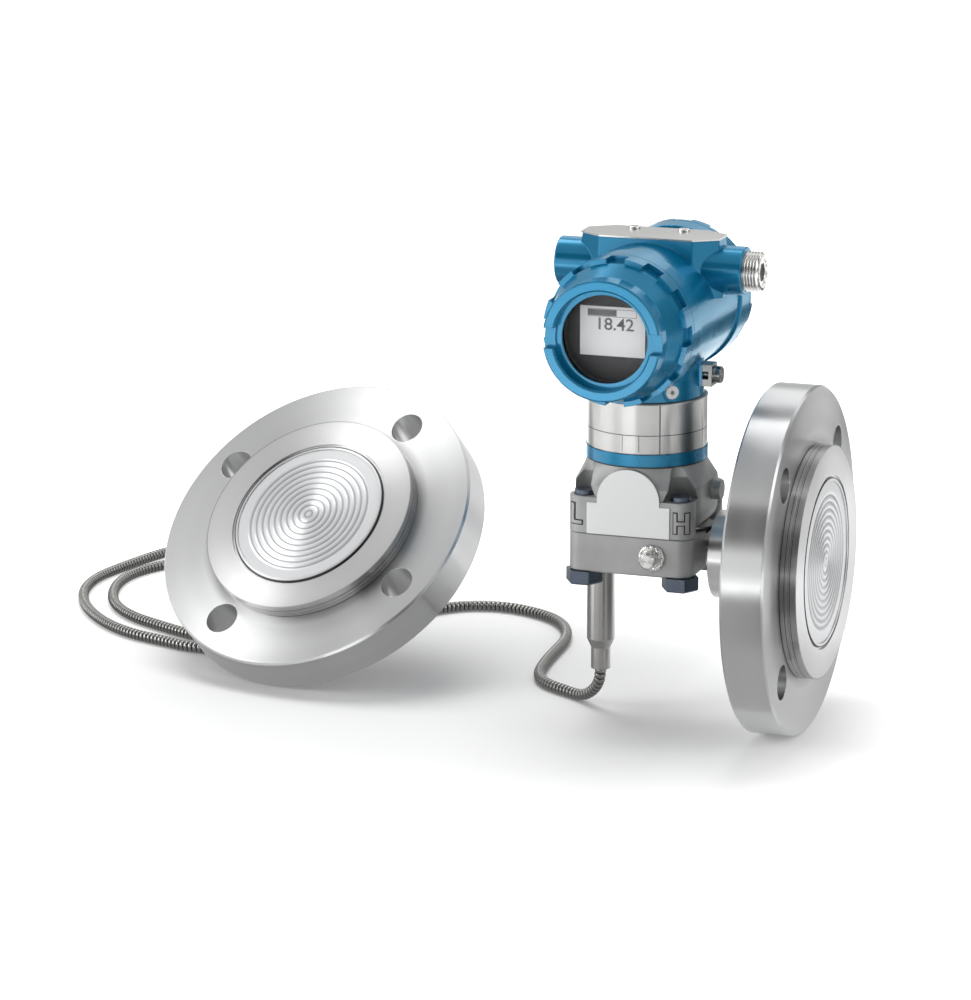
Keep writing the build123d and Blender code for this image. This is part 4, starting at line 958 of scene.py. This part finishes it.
# %% Casting with its machined pad
padded_cast, tree, shader, here = start_finish(
    "cast_stainless_with_pad", (0.4, 0.4, 0.395), 0.5, 1.0)
grain_node = place_group(tree, fine_grain, here, Grain_Scale=1400.0, Patch_Scale=50.0)
axes = tree.nodes.new("ShaderNodeSeparateXYZ")
tree.links.new(here, axes.inputs[0])
pad = math(tree, "LESS_THAN", axes.outputs[1], -0.0343)
cast_share = math(tree, "SUBTRACT", 1.0, pad)
cast_height = math(tree, "MULTIPLY", grain_node.outputs["Height"], cast_share)
bump(tree, shader, cast_height, 0.5, 0.00012, 0.0006)
cast_colour = tree.nodes.new("ShaderNodeMix")
cast_colour.data_type = "RGBA"
tree.links.new(pad, cast_colour.inputs["Factor"])
tint(tree, grain_node.outputs["Patches"], *cast_colours, cast_colour.inputs[first_colour])
cast_colour.inputs[second_colour].default_value = (0.8, 0.81, 0.81, 1)
tree.links.new(cast_colour.outputs[mixed_colour], shader.inputs["Base Color"])
tree.links.new(math(tree, "MULTIPLY_ADD", pad, -0.3, 0.6), shader.inputs["Metallic"])
give(padded_cast, "sensor_body")

# %% Blue powder coat
give(grained("blue_powder_coat", (0.0, 0.18, 0.35), 0.24, 0.5, 420.0, 25.0,
             (0.12, 0.0002, 0.0007), (0.23, 0.3), Specular_IOR_Level=1.0,
             Specular_Tint=(0.45, 0.85, 1.0, 1), Coat_Weight=0.4, Coat_IOR=1.6,
             Coat_Roughness=0.1),
     "housing", "front_cover", "rear_cover", "collar_ring")

# %% Brushed stainless
brushed_steel, tree, shader, here = start_finish(
    "brushed_stainless", (0.6, 0.6, 0.585), 0.26, 1.0)
hair_node = place_group(tree, hairlines, here, Line_Scale=3200.0, Stretch=0.03)
bump(tree, shader, hair_node.outputs["Height"], 0.35, 0.00003)
spread(tree, hair_node.outputs["Lines"], 0.2, 0.34, shader.inputs["Roughness"])
give(brushed_steel, "top_tag")

# %% [markdown]
# The neck band is laser-marked in the picture. Its words are left out: only the line under
# them and the edges of two cells are marked.

# %% Neck band
band_steel, tree, shader, turned = turned_finish(
    "neck_band_steel", Matrix.Translation((column_x, 0, 0)), (0.58, 0.58, 0.57), 0.24, 2600,
    0.15, 0.75)
here = tree.nodes.new("ShaderNodeTexCoord").outputs["Object"]
axes = tree.nodes.new("ShaderNodeSeparateXYZ")
tree.links.new(here, axes.inputs[0])
paint_mark_and_shade(tree, shader, line_at(tree, axes.outputs[2], 0.0696, 0.0002), (0.06, 0.06, 0.06))
low_front = math(tree, "MULTIPLY", line_at(tree, axes.outputs[2], 0.0652, 0.0044),
                 math(tree, "LESS_THAN", axes.outputs[1], 0))
for cell_side in (-0.0041, 0.0052):
    cell = line_at(tree, axes.outputs[0], column_x + cell_side, 0.00016)
    paint_mark_and_shade(tree, shader, math(tree, "MULTIPLY", cell, low_front), (0.08, 0.08, 0.08))
give(band_steel, "neck_band")

# %% Wound strip
wound_strip, tree, shader, here = start_finish("wound_strip", (0.34, 0.34, 0.33), 0.24, 1.0)
depth = tree.nodes.new("ShaderNodeAttribute")
depth.attribute_name = "valley"
grain_node = place_group(tree, fine_grain, here, Grain_Scale=1800.0, Patch_Scale=90.0)
bump(tree, shader, grain_node.outputs["Height"], 0.1, 0.00003)
# Painted shade: the valleys between the turns are ramped to near black.
ramp = tint(tree, depth.outputs["Fac"], (0.36, 0.36, 0.345), (0.01, 0.01, 0.01),
            shader.inputs["Base Color"])
ramp.color_ramp.elements[0].position = 0.15
ramp.color_ramp.elements[1].position = 0.6
give(wound_strip, "wound_armour")

# %% Small finishes
give(grained("plated_bolt_steel", (0.13, 0.155, 0.2), 0.26, 0.95, 900.0, 120.0,
             (0.2, 0.00005, 0.0005), (0.24, 0.36)), "flange_bolts")
give(grained("black_rubber", (0.02, 0.02, 0.02), 0.6, 0.0, 1200.0, 100.0, (0.2, 0.00005)),
     "front_o_ring", "rear_o_ring", "port_gaskets", "window_gasket", "window_retainer",
     "collar_shade_gasket", "front_joint_shade_seal")
give(grained("black_moulding", (0.018, 0.018, 0.02), 0.42, 0.0, 1600.0, 100.0, (0.25, 0.00005)),
     "display_module", "electronics_module", "terminal_block")
give(grained("board_green", (0.02, 0.16, 0.06), 0.35, 0.0, 800.0, 200.0, (0.1, 0.00005)),
     "sensor_board")
give(grained("white_ring", (0.75, 0.75, 0.74), 0.35, 0.0, 900.0, 200.0, (0.05, 0.00005)),
     "lock_screw")
give(grained("display_panel", (0.7, 0.7, 0.71), 0.4, 0.0, 2500.0, 30.0,
             colours=((0.66, 0.67, 0.68), (0.74, 0.74, 0.75))), "lcd_panel")
give(grained("display_ink", (0.13, 0.13, 0.135), 0.5, 0.0, 2500.0, 200.0,
             colours=((0.11, 0.11, 0.115), (0.15, 0.15, 0.155))), "display_marks")
window_clear = start_finish("window_glass", (1, 1, 1), 0.0, Transmission_Weight=1.0, IOR=1.1)[0]
give(window_clear, "window_glass")
